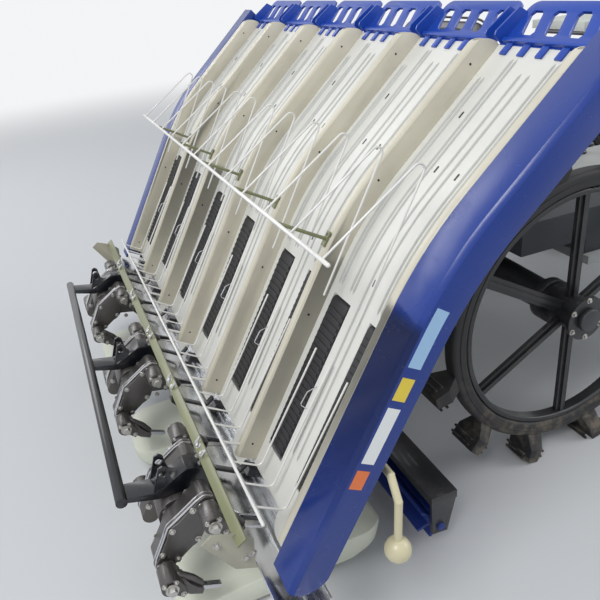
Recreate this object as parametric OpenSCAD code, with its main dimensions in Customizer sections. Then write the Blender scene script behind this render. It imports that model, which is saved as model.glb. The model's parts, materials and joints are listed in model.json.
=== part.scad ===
// Riding rice transplanter: four-wheel carrier with a six-row planting unit
// on a parallel lift. X points forward, Y to the left, Z up, millimetres.
// The origin is on the ground below the middle of the machine.

/* [Overall] */
// Length from the rear guard tube to the front bumper tube
overall_len = 3036; // [2980:1:3100]
// Wheelbase
wheelbase = 1100; // [1080:1:1130]
// Distance between the left and right wheel centres
track_w = 1200; // [1180:1:1240]

/* [Wheels] */
// Rear wheel diameter over the lug tips
rear_wheel_d = 950; // [930:1:960]
// Front wheel diameter over the lug tips
front_wheel_d = 650; // [630:1:660]
// Lugs on each wheel
lug_count = 12; // [10:1:14]
// Width of a rear lug across the wheel
rear_lug_w = 92; // [80:1:100]
// Width of a front lug across the wheel
front_lug_w = 76; // [60:1:80]

/* [Seedling table] */
// Planting rows
rows = 6; // [6:2:6]
// Distance between neighbouring rows
row_pitch = 300; // [298:1:302]
// Slope of the lower, straight part of the table
table_slope = 60; // [59:0.5:61]
// Angle that the table bends over by towards its top
table_bend = 18; // [17:0.5:19]
// Radius of the bend
bend_r = 750; // [740:5:770]
// Straight length from the row dividers' lower ends to the bend
straight_len = 503; // [495:1:510]
// Length of the dividers over all
divider_len = 1072; // [1060:1:1085]
// Height of the row dividers over the table floor
divider_h = 52; // [48:1:55]
// Thickness of a row divider
divider_t = 24; // [22:1:25]
// Sheet thickness of the table floor
floor_t = 3; // [2.5:0.1:3.5]
// Floor length below the dividers
tongue_len = 60; // [56:1:62]
// Width of a feed belt
belt_w = 70; // [64:1:74]
// Length of a feed belt window along the slope
belt_len = 383; // [370:1:390]
// Width of a blue side cover
cover_w = 84; // [80:1:88]
// Depth of a side cover's outer flange
cover_depth = 70; // [64:1:76]
// Length of the top extension grids
grid_len = 112; // [104:1:118]

/* [Planting rotors] */
// Distance from a rotor's centre to a planting arm's pivot
arm_circle_r = 85; // [83:1:86]
// Reach of a claw in front of its arm's pivot
claw_reach = 105; // [103:1:106]
// Drop of a claw below its arm's pivot
claw_drop = 75; // [74:1:77]
// Tilt of the rotor cases at rest
rotor_tilt = 48; // [44:1:52]

/* [Carrier] */
// Height of the step deck
deck_z = 560; // [550:1:575]
// Thickness of the step deck
deck_t = 26; // [22:1:30]
// Half width of the deck between the front wheels
deck_half = 325; // [315:1:330]
// Height of the raised seat floor
seat_floor_z = 700; // [690:1:720]
// Height of the seat cushion's top
seat_z = 930; // [920:1:950]
// Width of the seat
seat_w = 440; // [420:1:460]
// Diameter of the steering wheel
steer_d = 380; // [370:1:390]
// Width of the bonnet
bonnet_w = 420; // [410:1:440]
// Length of the bonnet
bonnet_len = 520; // [510:1:530]
// Height of the bonnet's top
bonnet_top = 1010; // [990:1:1030]
// Length of a spare seedling tray
tray_len = 620; // [600:1:640]
// Width of a spare seedling tray
tray_w = 300; // [290:1:310]

/* [Hidden] */
$fn = 48;
// a small gap between pieces that seat on each other
seat_gap = 0.3;
tube_r = 17;
half_len = overall_len / 2;

// Reference point of the table: the floor surface at the dividers' lower ends
guard_back = 315;
guard_r = 13;
table_x = -half_len + guard_r + guard_back;
table_z = 340;
// Wheel centres. A wheel stands on two lugs, so its centre is a little lower than its radius.
lug_tip_half = 2;
stand_factor = cos(180 / lug_count - lug_tip_half);
rear_axle_x = table_x + 940;
rear_axle_z = rear_wheel_d / 2 * stand_factor;
front_axle_x = rear_axle_x + wheelbase;
front_axle_z = front_wheel_d / 2 * stand_factor;
half_track = track_w / 2;
table_half = rows * row_pitch / 2;
// Bend of the table
bend_len = bend_r * table_bend * PI / 180;
bend_end = straight_len + bend_len;
upper_slope = table_slope - table_bend;
bend_cx = table_x + straight_len * cos(table_slope) + bend_r * sin(table_slope);
bend_cz = table_z + straight_len * sin(table_slope) - bend_r * cos(table_slope);
function row_y(i) = -table_half + row_pitch * (i + 0.5);
function case_y(i) = -table_half + row_pitch * (2 * i + 1);
// Rotor centre, seen from the table's reference point
rotor_dx = -205;
rotor_dz = -50;
rotor_x = table_x + rotor_dx;
rotor_z = table_z + rotor_dz;
// Lift: a true parallelogram of lower and top links, with the drive shaft parallel to them
link_front = [-430, 530];
link_step = [-490, -230];
link_gap = 220;
link_y = 140;
link_rear = link_front + link_step;
top_front = link_front + [0, link_gap];
top_rear = link_rear + [0, link_gap];
shaft_front = [-365, 555];
shaft_rear = shaft_front + link_step;
shaft_y = -82;
pin_r = 12;
// Lift cylinder: base pin on the chassis, rod eye on a tube that hangs below the lower links
eye_tube_r = 9;
eye_along = 300;
eye_drop = 60;
link_len = norm(link_step);
link_dir = link_step / link_len;
eye_pin = link_front + eye_along * link_dir + eye_drop * [-link_dir[1], link_dir[0]];
cyl_base = [-400, 300];
cyl_dir = (eye_pin - cyl_base) / norm(eye_pin - cyl_base);
// Cross beam of the planting unit
beam_x = table_x + 170;
beam_z = table_z - 100;
beam_size = 60;
beam_half = 760;

// Places children on the straight lower part: X up the slope, Z away from the floor
module at_low(s = 0, y = 0, n = 0)
    translate([table_x + s * cos(table_slope) - n * sin(table_slope), y,
               table_z + s * sin(table_slope) + n * cos(table_slope)])
        rotate([0, -table_slope, 0]) children();

// Places children on the straight upper part, with s still counted from the dividers' lower ends
module at_up(s = 0, y = 0, n = 0)
    translate([bend_cx - (bend_r + n) * sin(upper_slope) + (s - bend_end) * cos(upper_slope), y,
               bend_cz + (bend_r + n) * cos(upper_slope) + (s - bend_end) * sin(upper_slope)])
        rotate([0, -upper_slope, 0]) children();

// Carries a section drawn as (height over the floor, Y) along the table from s0 to s1
module sweep(s0, s1) {
    at_low(s0) rotate([0, 90, 0]) linear_extrude(straight_len - s0) mirror([1, 0]) children();
    translate([bend_cx, 0, bend_cz]) rotate([-90, 0, 0]) rotate([0, 0, -90 - table_slope])
        rotate_extrude(angle = table_bend, $fn = 240) translate([bend_r, 0]) children();
    at_up(bend_end) rotate([0, 90, 0]) linear_extrude(s1 - bend_end) mirror([1, 0]) children();
}

// A round bar between two points
module bar(a, b, r) {
    d = b - a;
    translate(a) rotate([0, acos(d[2] / norm(d)), atan2(d[1], d[0])]) cylinder(h = norm(d), r = r, $fn = 24);
}

// A bent round bar through a list of points
module bent_bar(p, r) {
    for (i = [0 : len(p) - 2]) bar(p[i], p[i + 1], r);
    if (len(p) > 2) for (i = [1 : len(p) - 2]) translate(p[i]) sphere(r = r + 0.4, $fn = 24);
}

// The points of a wire bent in the X-Z plane: every inner corner is rounded with radius bend
function toward(a, b, d) = a + d * (b - a) / norm(b - a);
function half_corner(p, i) = let (u = p[i - 1] - p[i],
    v = p[i + 1] - p[i]) acos(u * v / norm(u) / norm(v)) / 2;
function round_points(p, i, bend, steps) = let (
    reach = bend / tan(half_corner(p, i)),
    a = toward(p[i], p[i - 1], reach),
    b = toward(p[i], p[i + 1], reach),
    middle = toward(p[i], (a + b) / 2, bend / sin(half_corner(p, i))),
    start = atan2(a[1] - middle[1], a[0] - middle[0]),
    turn = atan2(b[1] - middle[1], b[0] - middle[0]) - start,
    way = turn > 180 ? turn - 360 : (turn < -180 ? turn + 360 : turn))
    [for (k = [0 : steps]) middle + bend * [cos(start + way * k / steps), sin(start + way * k / steps)]];
function wire_points(p, bend, steps) = concat([p[0]],
    [for (i = [1 : len(p) - 2]) each round_points(p, i, bend, steps)], [p[len(p) - 1]]);
module wire(p, y, r, bend, steps) side_plate(y, 2 * r) {
    q = wire_points(p, bend, steps);
    for (i = [0 : len(q) - 2]) strip(q[i], q[i + 1], 2 * r);
    for (i = [1 : len(q) - 2]) translate(q[i]) circle(r + 0.15);
}
function at_y(q, y) = [q[0], y, q[1]];

// A box from its centre and size
module block(c, size) translate(c) cube(size, center = true);

// A rectangle with round corners
module round_rect(w, h, r) {
    square([w - 2 * r, h], center = true);
    square([w, h - 2 * r], center = true);
    for (x = [-1, 1], y = [-1, 1]) translate([x * (w / 2 - r), y * (h / 2 - r)]) circle(r);
}

// A shape drawn in the X-Z plane and given a width along Y about its middle
module side_plate(y, w) translate([0, y + w / 2, 0]) rotate([90, 0, 0]) linear_extrude(w) children();

// A straight strip of width t between two points, drawn in the plane
module strip(a, b, t) {
    d = b - a;
    translate(a) rotate(atan2(d[1], d[0])) translate([0, -t / 2]) square([norm(d), t]);
}

// Wheels. One rim and one tyre module serve all four, drawn about the wheel's own centre.
ring_t = 46;
ring_w = 46;
rim_t = 16;
hub_r = 48;
axle_r = 20;
bore_gap = 0.3;
rear_lug_h = 78;
front_lug_h = 52;

module lug(d, lug_h, lug_w) {
    root_r = d / 2 - lug_h - 6;
    tip_x = d / 2 * cos(lug_tip_half);
    tip_y = d / 2 * sin(lug_tip_half);
    intersection() {
        translate([0, 0, -lug_w / 2]) linear_extrude(lug_w)
            polygon([[root_r, -tip_y - 9], [tip_x, -tip_y], [tip_x, tip_y], [root_r, tip_y + 9]]);
        rotate([90, 0, 0]) translate([0, 0, -60]) linear_extrude(120)
            polygon([[root_r, -ring_w / 2 + 4], [d / 2 - lug_h * 0.55, -lug_w / 2], [d / 2 + 1, -lug_w / 2],
                     [d / 2 + 1, lug_w / 2], [d / 2 - lug_h * 0.55, lug_w / 2], [root_r, ring_w / 2 - 4]]);
    }
}

module tyre(d, lug_h, lug_w) {
    rotate([90, 0, 0]) {
        rotate_extrude($fn = 96) translate([d / 2 - lug_h - ring_t / 2, 0]) round_rect(ring_t, ring_w, 12);
        for (i = [0 : lug_count - 1]) rotate([0, 0, -90 + (i + 0.5) * 360 / lug_count]) lug(d, lug_h, lug_w);
    }
}

module rim(d, lug_h, hub_w, spokes) {
    outer = d / 2 - lug_h - ring_t - seat_gap;
    rotate([90, 0, 0]) difference() {
        union() {
            rotate_extrude($fn = 96) translate([outer - rim_t / 2, 0]) round_rect(rim_t, ring_w - 10, 5);
            cylinder(h = hub_w, r = hub_r, center = true);
            for (i = [0 : spokes - 1]) rotate([0, 0, 90 + i * 360 / spokes]) {
                translate([(outer + 20) / 2, 0, 0]) cube([outer - 30, 34, 12], center = true);
                translate([(outer + 20) / 2, 0, 0]) cube([outer - 30, 10, 24], center = true);
            }
            for (s = [-1, 1]) translate([0, 0, s * hub_w / 2])
                cylinder(h = 12, r = hub_r + 14, center = true);
        }
        cylinder(h = hub_w + 40, r = axle_r + bore_gap, center = true);
    }
}

rear_hub_w = 110;
front_hub_w = 90;
module rear_rim(side) color([0.09, 0.09, 0.1]) translate([rear_axle_x, side * half_track, rear_axle_z])
    rim(rear_wheel_d, rear_lug_h, rear_hub_w, 6);
module rear_tyre(side) color([0.05, 0.05, 0.055]) translate([rear_axle_x, side * half_track, rear_axle_z])
    tyre(rear_wheel_d, rear_lug_h, rear_lug_w);
module front_rim(side) color([0.09, 0.09, 0.1]) translate([front_axle_x, side * half_track, front_axle_z])
    rim(front_wheel_d, front_lug_h, front_hub_w, 5);
module front_tyre(side) color([0.05, 0.05, 0.055]) translate([front_axle_x, side * half_track, front_axle_z])
    tyre(front_wheel_d, front_lug_h, front_lug_w);

module rear_rim_left() rear_rim(1);
module rear_rim_right() rear_rim(-1);
module rear_tyre_left() rear_tyre(1);
module rear_tyre_right() rear_tyre(-1);
module front_rim_left() front_rim(1);
module front_rim_right() front_rim(-1);
module front_tyre_left() front_tyre(1);
module front_tyre_right() front_tyre(-1);

// Running gear
king_y = half_track - 120;
king_r = 22;
case_half = 130;
case_front_x = rear_axle_x + 130;
case_rear_x = rear_axle_x - 100;
front_case = [front_axle_x - 90, front_axle_x + 100];
rail_y = 100;
rail_w = 40;
rail_z = [430, 490];
frame_front_x = half_len - 70;

module axle_stub(x, z, side, y0, y1) translate([x, side * y0, z]) rotate([-side * 90, 0, 0]) {
    cylinder(h = y1 - y0, r = axle_r);
    translate([0, 0, y1 - y0]) cylinder(h = 14, r = hub_r - 16);
}

axle_tube_len = half_track - rear_hub_w / 2 - 6.3 - (case_half - 1);
module rear_axle() color([0.1, 0.1, 0.11]) {
    // transmission case with the output boss of the drive shaft
    side_plate(0, 2 * case_half)
        polygon([[case_rear_x, 390], [case_rear_x + 40, 370], [case_front_x - 30, 370], [case_front_x, 400],
                 [case_front_x, 510], [case_front_x - 40, 533.7], [case_rear_x + 60, 600],
                     [case_rear_x, 600]]);
    translate([case_rear_x + 1, shaft_y, shaft_front[1]]) rotate([0, -90, 0]) cylinder(h = 9, r = 22);
    for (side = [-1, 1]) {
        translate([rear_axle_x, side * (case_half - 1), rear_axle_z]) rotate([-side * 90, 0, 0]) {
            cylinder(h = 20, r = 74);
            cylinder(h = axle_tube_len - 10, r1 = 52, r2 = 42);
            translate([0, 0, axle_tube_len - 30]) cylinder(h = 30, r = 62);
        }
        axle_stub(rear_axle_x, rear_axle_z, side, half_track - rear_hub_w / 2 - 20,
            half_track + rear_hub_w / 2 + 6.5);
    }
}

module gearcase() color([0.1, 0.1, 0.11]) {
    side_plate(0, 240) polygon([[front_case[0], 400], [front_case[0] + 30, 372], [front_case[1] - 20, 372],
        [front_case[1], 400], [front_case[1], 520], [front_case[0] + 40, 520], [front_case[0], 490]]);
    difference() {
        union() {
            for (side = [-1, 1]) {
                block([front_axle_x, side * (king_y + 100) / 2, 466], [64, king_y - 100, 60]);
                translate([front_axle_x, side * king_y, 432]) cylinder(h = 80, r = 46);
            }
        }
        for (side = [-1, 1]) translate([front_axle_x, side * king_y, 420])
            cylinder(h = 110, r = king_r + bore_gap);
    }
}

module knuckle(side) color([0.1, 0.1, 0.11]) translate([front_axle_x, side * king_y, 0]) {
    translate([0, 0, front_axle_z - 66]) cylinder(h = 431.7 - front_axle_z + 66, r = 40);
    cylinder_top = 524;
    translate([0, 0, 420]) cylinder(h = cylinder_top - 420, r = king_r);
    translate([0, 0, 512.3]) cylinder(h = 14, r = 36);
    translate([0, 0, front_axle_z]) rotate([-side * 90, 0, 0])
        cylinder(h = half_track - king_y - front_hub_w / 2 - 6.3, r = 52);
    axle_stub(0, front_axle_z, side, 20, half_track - king_y + front_hub_w / 2 + 6.5);
    // steering arm
    block([-62, 0, front_axle_z + 82], [90, 30, 16]);
    translate([-105, 0, front_axle_z + 74]) cylinder(h = 30, r = 14);
}
module knuckle_left() knuckle(1);
module knuckle_right() knuckle(-1);

tow_back = 42;
tow_t = 12;
tow_r = 10.5;
module chassis_frame() color([0.08, 0.08, 0.09]) {
    rear_top = top_front[1] + 40;
    // two rails between the gear cases, and two on to the bumper
    for (side = [-1, 1]) {
        translate([case_front_x, side * rail_y - rail_w / 2, rail_z[0]])
            cube([front_case[0] - case_front_x, rail_w, rail_z[1] - rail_z[0]]);
        translate([front_case[1], side * rail_y - rail_w / 2, 460])
            cube([frame_front_x - front_case[1], rail_w, 59.7]);
    }
    // cross members under the deck
    for (x = [60, 380, 640]) block([x, 0, 511.35], [50, 2 * deck_half - 40, 44.7]);
    block([1180, 0, 490], [50, 2 * rail_y, 40]);
    // rear frame with the link pivots
    for (side = [-1, 1]) side_plate(side * 115, 10)
        polygon([[case_rear_x, 400], [case_rear_x, 598], [-398, 600], [-400, rear_top], [-465, rear_top],
                 [-465, top_front[1] - 50], [link_front[0] - 40, link_front[1] - 40], [-420, 270],
                     [-375, 270]]);
    block([-432, 0, top_front[1] - 60], [30, 220, 40]);
    block([-385, 0, 640], [20, 220, 60]);
    for (side = [-1, 1]) {
        translate([link_front[0], side * 112, link_front[1]]) rotate([-side * 90, 0, 0])
            cylinder(h = 48, r = pin_r);
        translate([link_front[0], side * 151, link_front[1]]) rotate([-side * 90, 0, 0])
            cylinder(h = 7, r = 20);
    }
    translate([top_front[0], 0, top_front[1]]) rotate([90, 0, 0])
        cylinder(h = 222, r = pin_r, center = true);
    translate([cyl_base[0], 0, cyl_base[1]]) rotate([90, 0, 0]) cylinder(h = 222, r = pin_r, center = true);
    // bumper tube with its two brackets
    bz = 489.85;
    bx = half_len - tube_r;
    bent_bar([[bx - 90, -330, bz + 120], [bx - 30, -300, bz + 20], [bx, -240, bz], [bx, 240, bz],
        [bx - 30, 300, bz + 20],
              [bx - 90, 330, bz + 120]], tube_r);
    for (side = [-1, 1]) block([(frame_front_x + bx) / 2 - 1, side * rail_y, bz],
        [bx - frame_front_x + 2, 12, 40]);
    // tow eye
    difference() {
        block([bx - tow_back / 2 - 8, 0, bz], [tow_back + 16, 56, tow_t]);
        translate([bx - tow_back, 0, bz]) cylinder(h = 3 * tow_t, r = tow_r, center = true);
    }
}

module engine_block() color([0.2, 0.2, 0.21]) {
    block([1160, 0, 700], [340, 290, 360]);
}

deck_wide = 520;
deck_rear_x = -120;
deck_wide_x = 470;
deck_front_x = 1420;
// Raised foot pads with grooves, on both sides of the console
pad_t = 3;
pad_x = [170, 450];
pad_y = [205, 475];
module step_deck() color([0.78, 0.78, 0.74]) {
    deck_panel();
    for (side = [-1, 1]) translate([pad_x[0], side > 0 ? pad_y[0] : -pad_y[1], deck_z - 1]) difference() {
        cube([pad_x[1] - pad_x[0], pad_y[1] - pad_y[0], pad_t + 1]);
        for (i = [0 : 4]) translate([20 + i * 50, 20, 1 + pad_t / 2])
            cube([18, pad_y[1] - pad_y[0] - 40, 5]);
    }
}
module deck_panel() {
    translate([0, 0, deck_z - deck_t]) linear_extrude(deck_t) difference() {
        union() {
            translate([deck_rear_x, -deck_wide]) square([deck_wide_x - deck_rear_x, 2 * deck_wide]);
            translate([deck_wide_x - 10, -deck_half])
                square([deck_front_x - deck_wide_x - 50, 2 * deck_half]);
            for (side = [-1, 1]) translate([deck_front_x - 60, side * (deck_half - 60)]) circle(60);
            translate([deck_front_x - 100, -deck_half + 60]) square([100, 2 * deck_half - 120]);
        }
        // opening for the engine
        translate([960, -170]) square([390, 340]);
        // steering column and pedal shaft
        translate([700, -110]) square([60, 220]);
    }
}

cowl_half = 500;
cowl_rear_x = -345;
module seat_cowl() color([0.12, 0.13, 0.15]) difference() {
    side_plate(0, 2 * cowl_half)
        polygon([[cowl_rear_x, 606], [cowl_rear_x, seat_floor_z - 20], [cowl_rear_x + 20, seat_floor_z],
            [100, seat_floor_z], [130, seat_floor_z - 40],
                 [140, deck_z + seat_gap], [-118, deck_z + seat_gap], [-118, 606]]);
    side_plate(0, 2 * cowl_half - 8)
        polygon([[cowl_rear_x + 4, 500], [cowl_rear_x + 4, seat_floor_z - 22],
            [cowl_rear_x + 22, seat_floor_z - 4], [98, seat_floor_z - 4],
                 [126, seat_floor_z - 41], [136, 500]]);
}

seat_x = -110;
module seat() color([0.07, 0.07, 0.08]) {
    // pan, cushion and back
    side_plate(0, seat_w) polygon([[seat_x - 200, seat_z - 90], [seat_x + 190, seat_z - 70],
        [seat_x + 215, seat_z - 35],
        [seat_x + 190, seat_z - 5], [seat_x + 60, seat_z - 12], [seat_x - 130, seat_z - 25],
            [seat_x - 160, seat_z + 60],
        [seat_x - 200, seat_z + 260], [seat_x - 225, seat_z + 280], [seat_x - 250, seat_z + 260],
            [seat_x - 225, seat_z - 40]]);
    for (side = [-1, 1]) block([seat_x, side * 130, (seat_floor_z + seat_z - 86) / 2 + 0.15],
        [300, 30, seat_z - 86 - seat_floor_z - 0.3]);
}

wheel_c = [600, 0, 1120];
col_tilt = 32;
col_dir = [-sin(col_tilt), 0, cos(col_tilt)];
module dash_console() color([0.12, 0.13, 0.15]) {
    difference() {
        side_plate(0, 380) polygon([[880 - 180, deck_z + seat_gap], [880 - seat_gap, deck_z + seat_gap],
            [880 - seat_gap, 1000],
            [860, 1030], [760, 1010], [690, 940], [712, 760]]);
        side_plate(0, 372) polygon([[704, 500], [874, 500], [874, 996], [857, 1025], [763, 1006],
            [695, 939], [716, 760]]);
    }
    // steering column
    bar(wheel_c - 58.3 * col_dir, wheel_c - 210 * col_dir, 30);
}

module steering_wheel() color([0.05, 0.05, 0.055]) translate(wheel_c) rotate([0, -col_tilt, 0]) {
    rotate_extrude($fn = 72) translate([steer_d / 2 - 13, 0]) circle(13);
    for (a = [0, 120, 240]) rotate([0, 0, a + 180]) translate([0, -14, -8]) cube([steer_d / 2 - 15, 28, 10]);
    translate([0, 0, -58]) cylinder(h = 66, r = 34);
}

module control_levers() color([0.06, 0.06, 0.065]) {
    for (l = [[90, 330, 90, 12], [20, 330, 90, 22], [90, -330, 60, 16]]) {
        bar([l[0], l[1], seat_floor_z + 8], [l[0] + l[3], l[1], seat_floor_z + 170], 6);
        translate([l[0] + l[3], l[1], seat_floor_z + 180]) sphere(r = 18, $fn = 32);
        translate([l[0], l[1], seat_floor_z + seat_gap]) cylinder(h = 12, r = 24);
    }
}

bonnet_rear_x = 880;
bonnet_split = 760;
wall = 4;
module bonnet_shell(z0, z1, slope)
    side_plate(0, bonnet_w) polygon([[bonnet_rear_x, z0], [bonnet_rear_x + bonnet_len - slope * 10, z0],
        [bonnet_rear_x + bonnet_len - slope * 10 - (z1 - z0) * 0.08, z1 - 60 * slope],
        [bonnet_rear_x + bonnet_len - 70 * slope, z1 - 14 * slope],
            [bonnet_rear_x + bonnet_len - 140 * slope, z1],
        [bonnet_rear_x, z1]]);
module bonnet() color([0.86, 0.86, 0.84]) difference() {
    bonnet_shell(bonnet_split + 3, bonnet_top, 1);
    side_plate(0, bonnet_w - 2 * wall) polygon([[bonnet_rear_x - 5, bonnet_split - 10],
        [bonnet_rear_x + bonnet_len - 14, bonnet_split - 10],
            [bonnet_rear_x + bonnet_len - 34, bonnet_top - 64],
        [bonnet_rear_x + bonnet_len - 73, bonnet_top - 18],
            [bonnet_rear_x + bonnet_len - 142, bonnet_top - wall],
        [bonnet_rear_x - 5, bonnet_top - wall]]);
    // lamp opening
    block([bonnet_rear_x + bonnet_len, 0, 850], [90, 240, 70]);
}
module headlamp() color([0.9, 0.9, 0.92]) intersection() {
    bonnet_shell(bonnet_split + 3, bonnet_top, 1);
    block([bonnet_rear_x + bonnet_len, 0, 850], [89, 239.4, 69.4]);
}
module nose_cowl() color([0.12, 0.13, 0.15]) difference() {
    side_plate(0, bonnet_w) polygon([[bonnet_rear_x, deck_z + seat_gap],
        [bonnet_rear_x + bonnet_len + 6, deck_z + seat_gap],
        [bonnet_rear_x + bonnet_len - 6, bonnet_split - 3], [bonnet_rear_x, bonnet_split - 3]]);
    side_plate(0, bonnet_w - 2 * wall)
        polygon([[bonnet_rear_x + wall, 500], [bonnet_rear_x + bonnet_len + 2, 500],
        [bonnet_rear_x + bonnet_len - 10, bonnet_split + 9], [bonnet_rear_x + wall, bonnet_split + 9]]);
    for (i = [0 : 6]) block([bonnet_rear_x + bonnet_len, 0, 600 + i * 18], [60, 260, 8]);
    for (side = [-1, 1], i = [0 : 5]) block([1000 + i * 40, side * bonnet_w / 2, 665], [22, 30, 70]);
}

// Spare seedling racks: two tiers on each side
rack_x = [620, 1250];
rack_y = 290;
tray_y = 470;
tiers = [800, 1040];
tray_mid_x = (rack_x[0] + rack_x[1]) / 2;
module rack_frames() color([0.1, 0.1, 0.11]) for (side = [-1, 1]) {
    for (x = rack_x) {
        bar([x, side * rack_y, deck_z + seat_gap], [x, side * rack_y, tiers[1] - 6], 14);
        translate([x, side * rack_y, deck_z + seat_gap]) cylinder(h = 8, r = 32);
        for (z = tiers) bar([x, side * rack_y, z - 8.3], [x, side * (tray_y + tray_w / 2 - 20), z - 8.3], 8);
    }
    for (z = tiers) bar([rack_x[0], side * (tray_y + 100), z - 8.3],
        [rack_x[1], side * (tray_y + 100), z - 8.3], 8);
    // grab rail
    bent_bar([[rack_x[1], side * rack_y, tiers[1] - 20], [rack_x[1], side * rack_y, 1240],
        [rack_x[1] - 200, side * rack_y, 1240],
              [rack_x[1] - 200, side * rack_y, tiers[1] + 120]], 12);
}
module tray() difference() {
    translate([-tray_len / 2, -tray_w / 2, 0]) cube([tray_len, tray_w, 34]);
    translate([-tray_len / 2 + 4, -tray_w / 2 + 4, 4]) cube([tray_len - 8, tray_w - 8, 40]);
}
module seedling_trays() color([0.75, 0.76, 0.72])
    for (side = [-1, 1], z = tiers) translate([tray_mid_x, side * (tray_y + 14.3), z]) tray();

module centre_marker() color([0.8, 0.8, 0.8]) {
    x = half_len - tube_r;
    translate([x, 0, 489.85 + tube_r + seat_gap]) cylinder(h = 700, r = 8);
    translate([x, 0, 489.85 + tube_r + seat_gap]) cylinder(h = 40, r = 15);
    translate([x, 0, 489.85 + 700]) sphere(r = 17, $fn = 32);
}

// Lift linkage. Each arm is drawn from its front pin to its rear pin.
link_tilt = atan2(link_step[1], -link_step[0]);
module along_link(p, y) translate([p[0], y, p[1]]) rotate([0, link_tilt, 0]) rotate([0, 0, 180]) children();
module link_arm(w, h, eye) difference() {
    union() {
        for (x = [0, link_len]) translate([x, 0, 0]) rotate([90, 0, 0])
            cylinder(h = w, r = eye, center = true);
        translate([0, -w / 2, -h / 2]) cube([link_len, w, h]);
    }
    for (x = [0, link_len]) translate([x, 0, 0]) rotate([90, 0, 0])
        cylinder(h = w + 20, r = pin_r + bore_gap, center = true);
}
module lower_links() color([0.08, 0.08, 0.09]) {
    for (side = [-1, 1]) along_link(link_front, side * link_y) {
        link_arm(18, 46, 30);
        translate([eye_along, 0, -eye_drop / 2]) cube([60, 18, eye_drop + 30], center = true);
    }
    translate([eye_pin[0], 0, eye_pin[1]]) rotate([90, 0, 0])
        cylinder(h = 2 * link_y, r = eye_tube_r, center = true);
}
module top_link() color([0.08, 0.08, 0.09]) along_link(top_front, 0) {
    link_arm(36, 34, 26);
}
module drive_shaft() color([0.1, 0.1, 0.11]) along_link(shaft_front, shaft_y) rotate([0, 90, 0]) {
    translate([0, 0, 14]) cylinder(h = link_len - 28, r = 13);
    translate([0, 0, 60]) cylinder(h = 200, r = 18);
    for (z = [14, link_len - 50]) translate([0, 0, z]) cylinder(h = 36, r = 18);
}
// the rod's eye has play round the tube, because the eye's arc is not quite the tube's
eye_play = 12;
module lift_cylinder() color([0.1, 0.1, 0.11]) translate([cyl_base[0], 0, cyl_base[1]])
    rotate([0, atan2(cyl_dir[0], cyl_dir[1]), 0]) difference() {
        union() {
            cylinder(h = 225, r = 28);
            rotate([90, 0, 0]) cylinder(h = 50, r = 26, center = true);
        }
        rotate([90, 0, 0]) cylinder(h = 60, r = pin_r + bore_gap, center = true);
        translate([0, 0, 40]) cylinder(h = 210, r = 14 + bore_gap);
    }
module lift_rod() color([0.75, 0.76, 0.78]) translate([cyl_base[0], 0, cyl_base[1]])
    rotate([0, atan2(cyl_dir[0], cyl_dir[1]), 0]) {
        reach = norm(eye_pin - cyl_base);
        translate([0, 0, 45]) cylinder(h = reach - 45 - 18, r = 14);
        translate([0, 0, reach]) difference() {
            rotate([90, 0, 0]) cylinder(h = 40, r = 30, center = true);
            rotate([90, 0, 0]) cylinder(h = 60, r = eye_tube_r + eye_play, center = true);
        }
    }

// Planting unit
post_y = 350;
roller_s = 600;
function arc_point(s, n) = let (a = table_slope - (s - straight_len) / bend_r * 180 / PI)
    [bend_cx - (bend_r + n) * sin(a), bend_cz + (bend_r + n) * cos(a)];
function low_point(s, n) = [table_x + s * cos(table_slope) - n * sin(table_slope),
                            table_z + s * sin(table_slope) + n * cos(table_slope)];
roller = arc_point(roller_s, -62);
post_top = arc_point(roller_s, -132);
post_knee = [beam_x + 70, 430];
module planter_frame() color([0.08, 0.08, 0.09]) {
    block([beam_x, 0, beam_z], [beam_size, 2 * beam_half, beam_size]);
    for (side = [-1, 1]) side_plate(side * 115, 10)
        polygon([[beam_x + 29, beam_z - 30], [beam_x + 29, beam_z + 30],
            [top_rear[0] - 50, top_rear[1] + 30],
                 [top_rear[0] + 30, top_rear[1] + 30], [link_rear[0] + 40, link_rear[1] - 40],
                     [beam_x + 60, beam_z - 30]]);
    block([top_rear[0] - 36, 0, top_rear[1] - 60], [20, 220, 60]);
    // gear case of the planting drive
    block([shaft_rear[0] - 45, shaft_y + 10, shaft_rear[1]], [60, 90 - 24, 70]);
    block([(beam_x + shaft_rear[0] - 50) / 2 + 10, shaft_y + 10, beam_z + 20],
        [shaft_rear[0] - 60 - beam_x + 10, 60, 50]);
    block([shaft_rear[0] - 55, shaft_y + 10, (shaft_rear[1] + beam_z) / 2], [40, 60, 90]);
    translate([top_rear[0], 0, top_rear[1]]) rotate([90, 0, 0]) cylinder(h = 222, r = pin_r, center = true);
    for (side = [-1, 1]) {
        translate([link_rear[0], side * 112, link_rear[1]]) rotate([-side * 90, 0, 0])
            cylinder(h = 48, r = pin_r);
        translate([link_rear[0], side * 151, link_rear[1]]) rotate([-side * 90, 0, 0])
            cylinder(h = 7, r = 20);
        // table supports with their guide rollers
        side_plate(side * post_y, 40) {
            strip([beam_x, beam_z + 20], post_knee, 34);
            strip(post_knee, post_top, 34);
            for (q = [post_knee, post_top]) translate(q) circle(18);
        }
        side_plate(side * post_y, 24) strip(post_top, roller, 16);
        translate([roller[0], side * post_y, roller[1]]) rotate([90, 0, 0])
            cylinder(h = 60, r = 15, center = true);
    }
}

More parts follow.
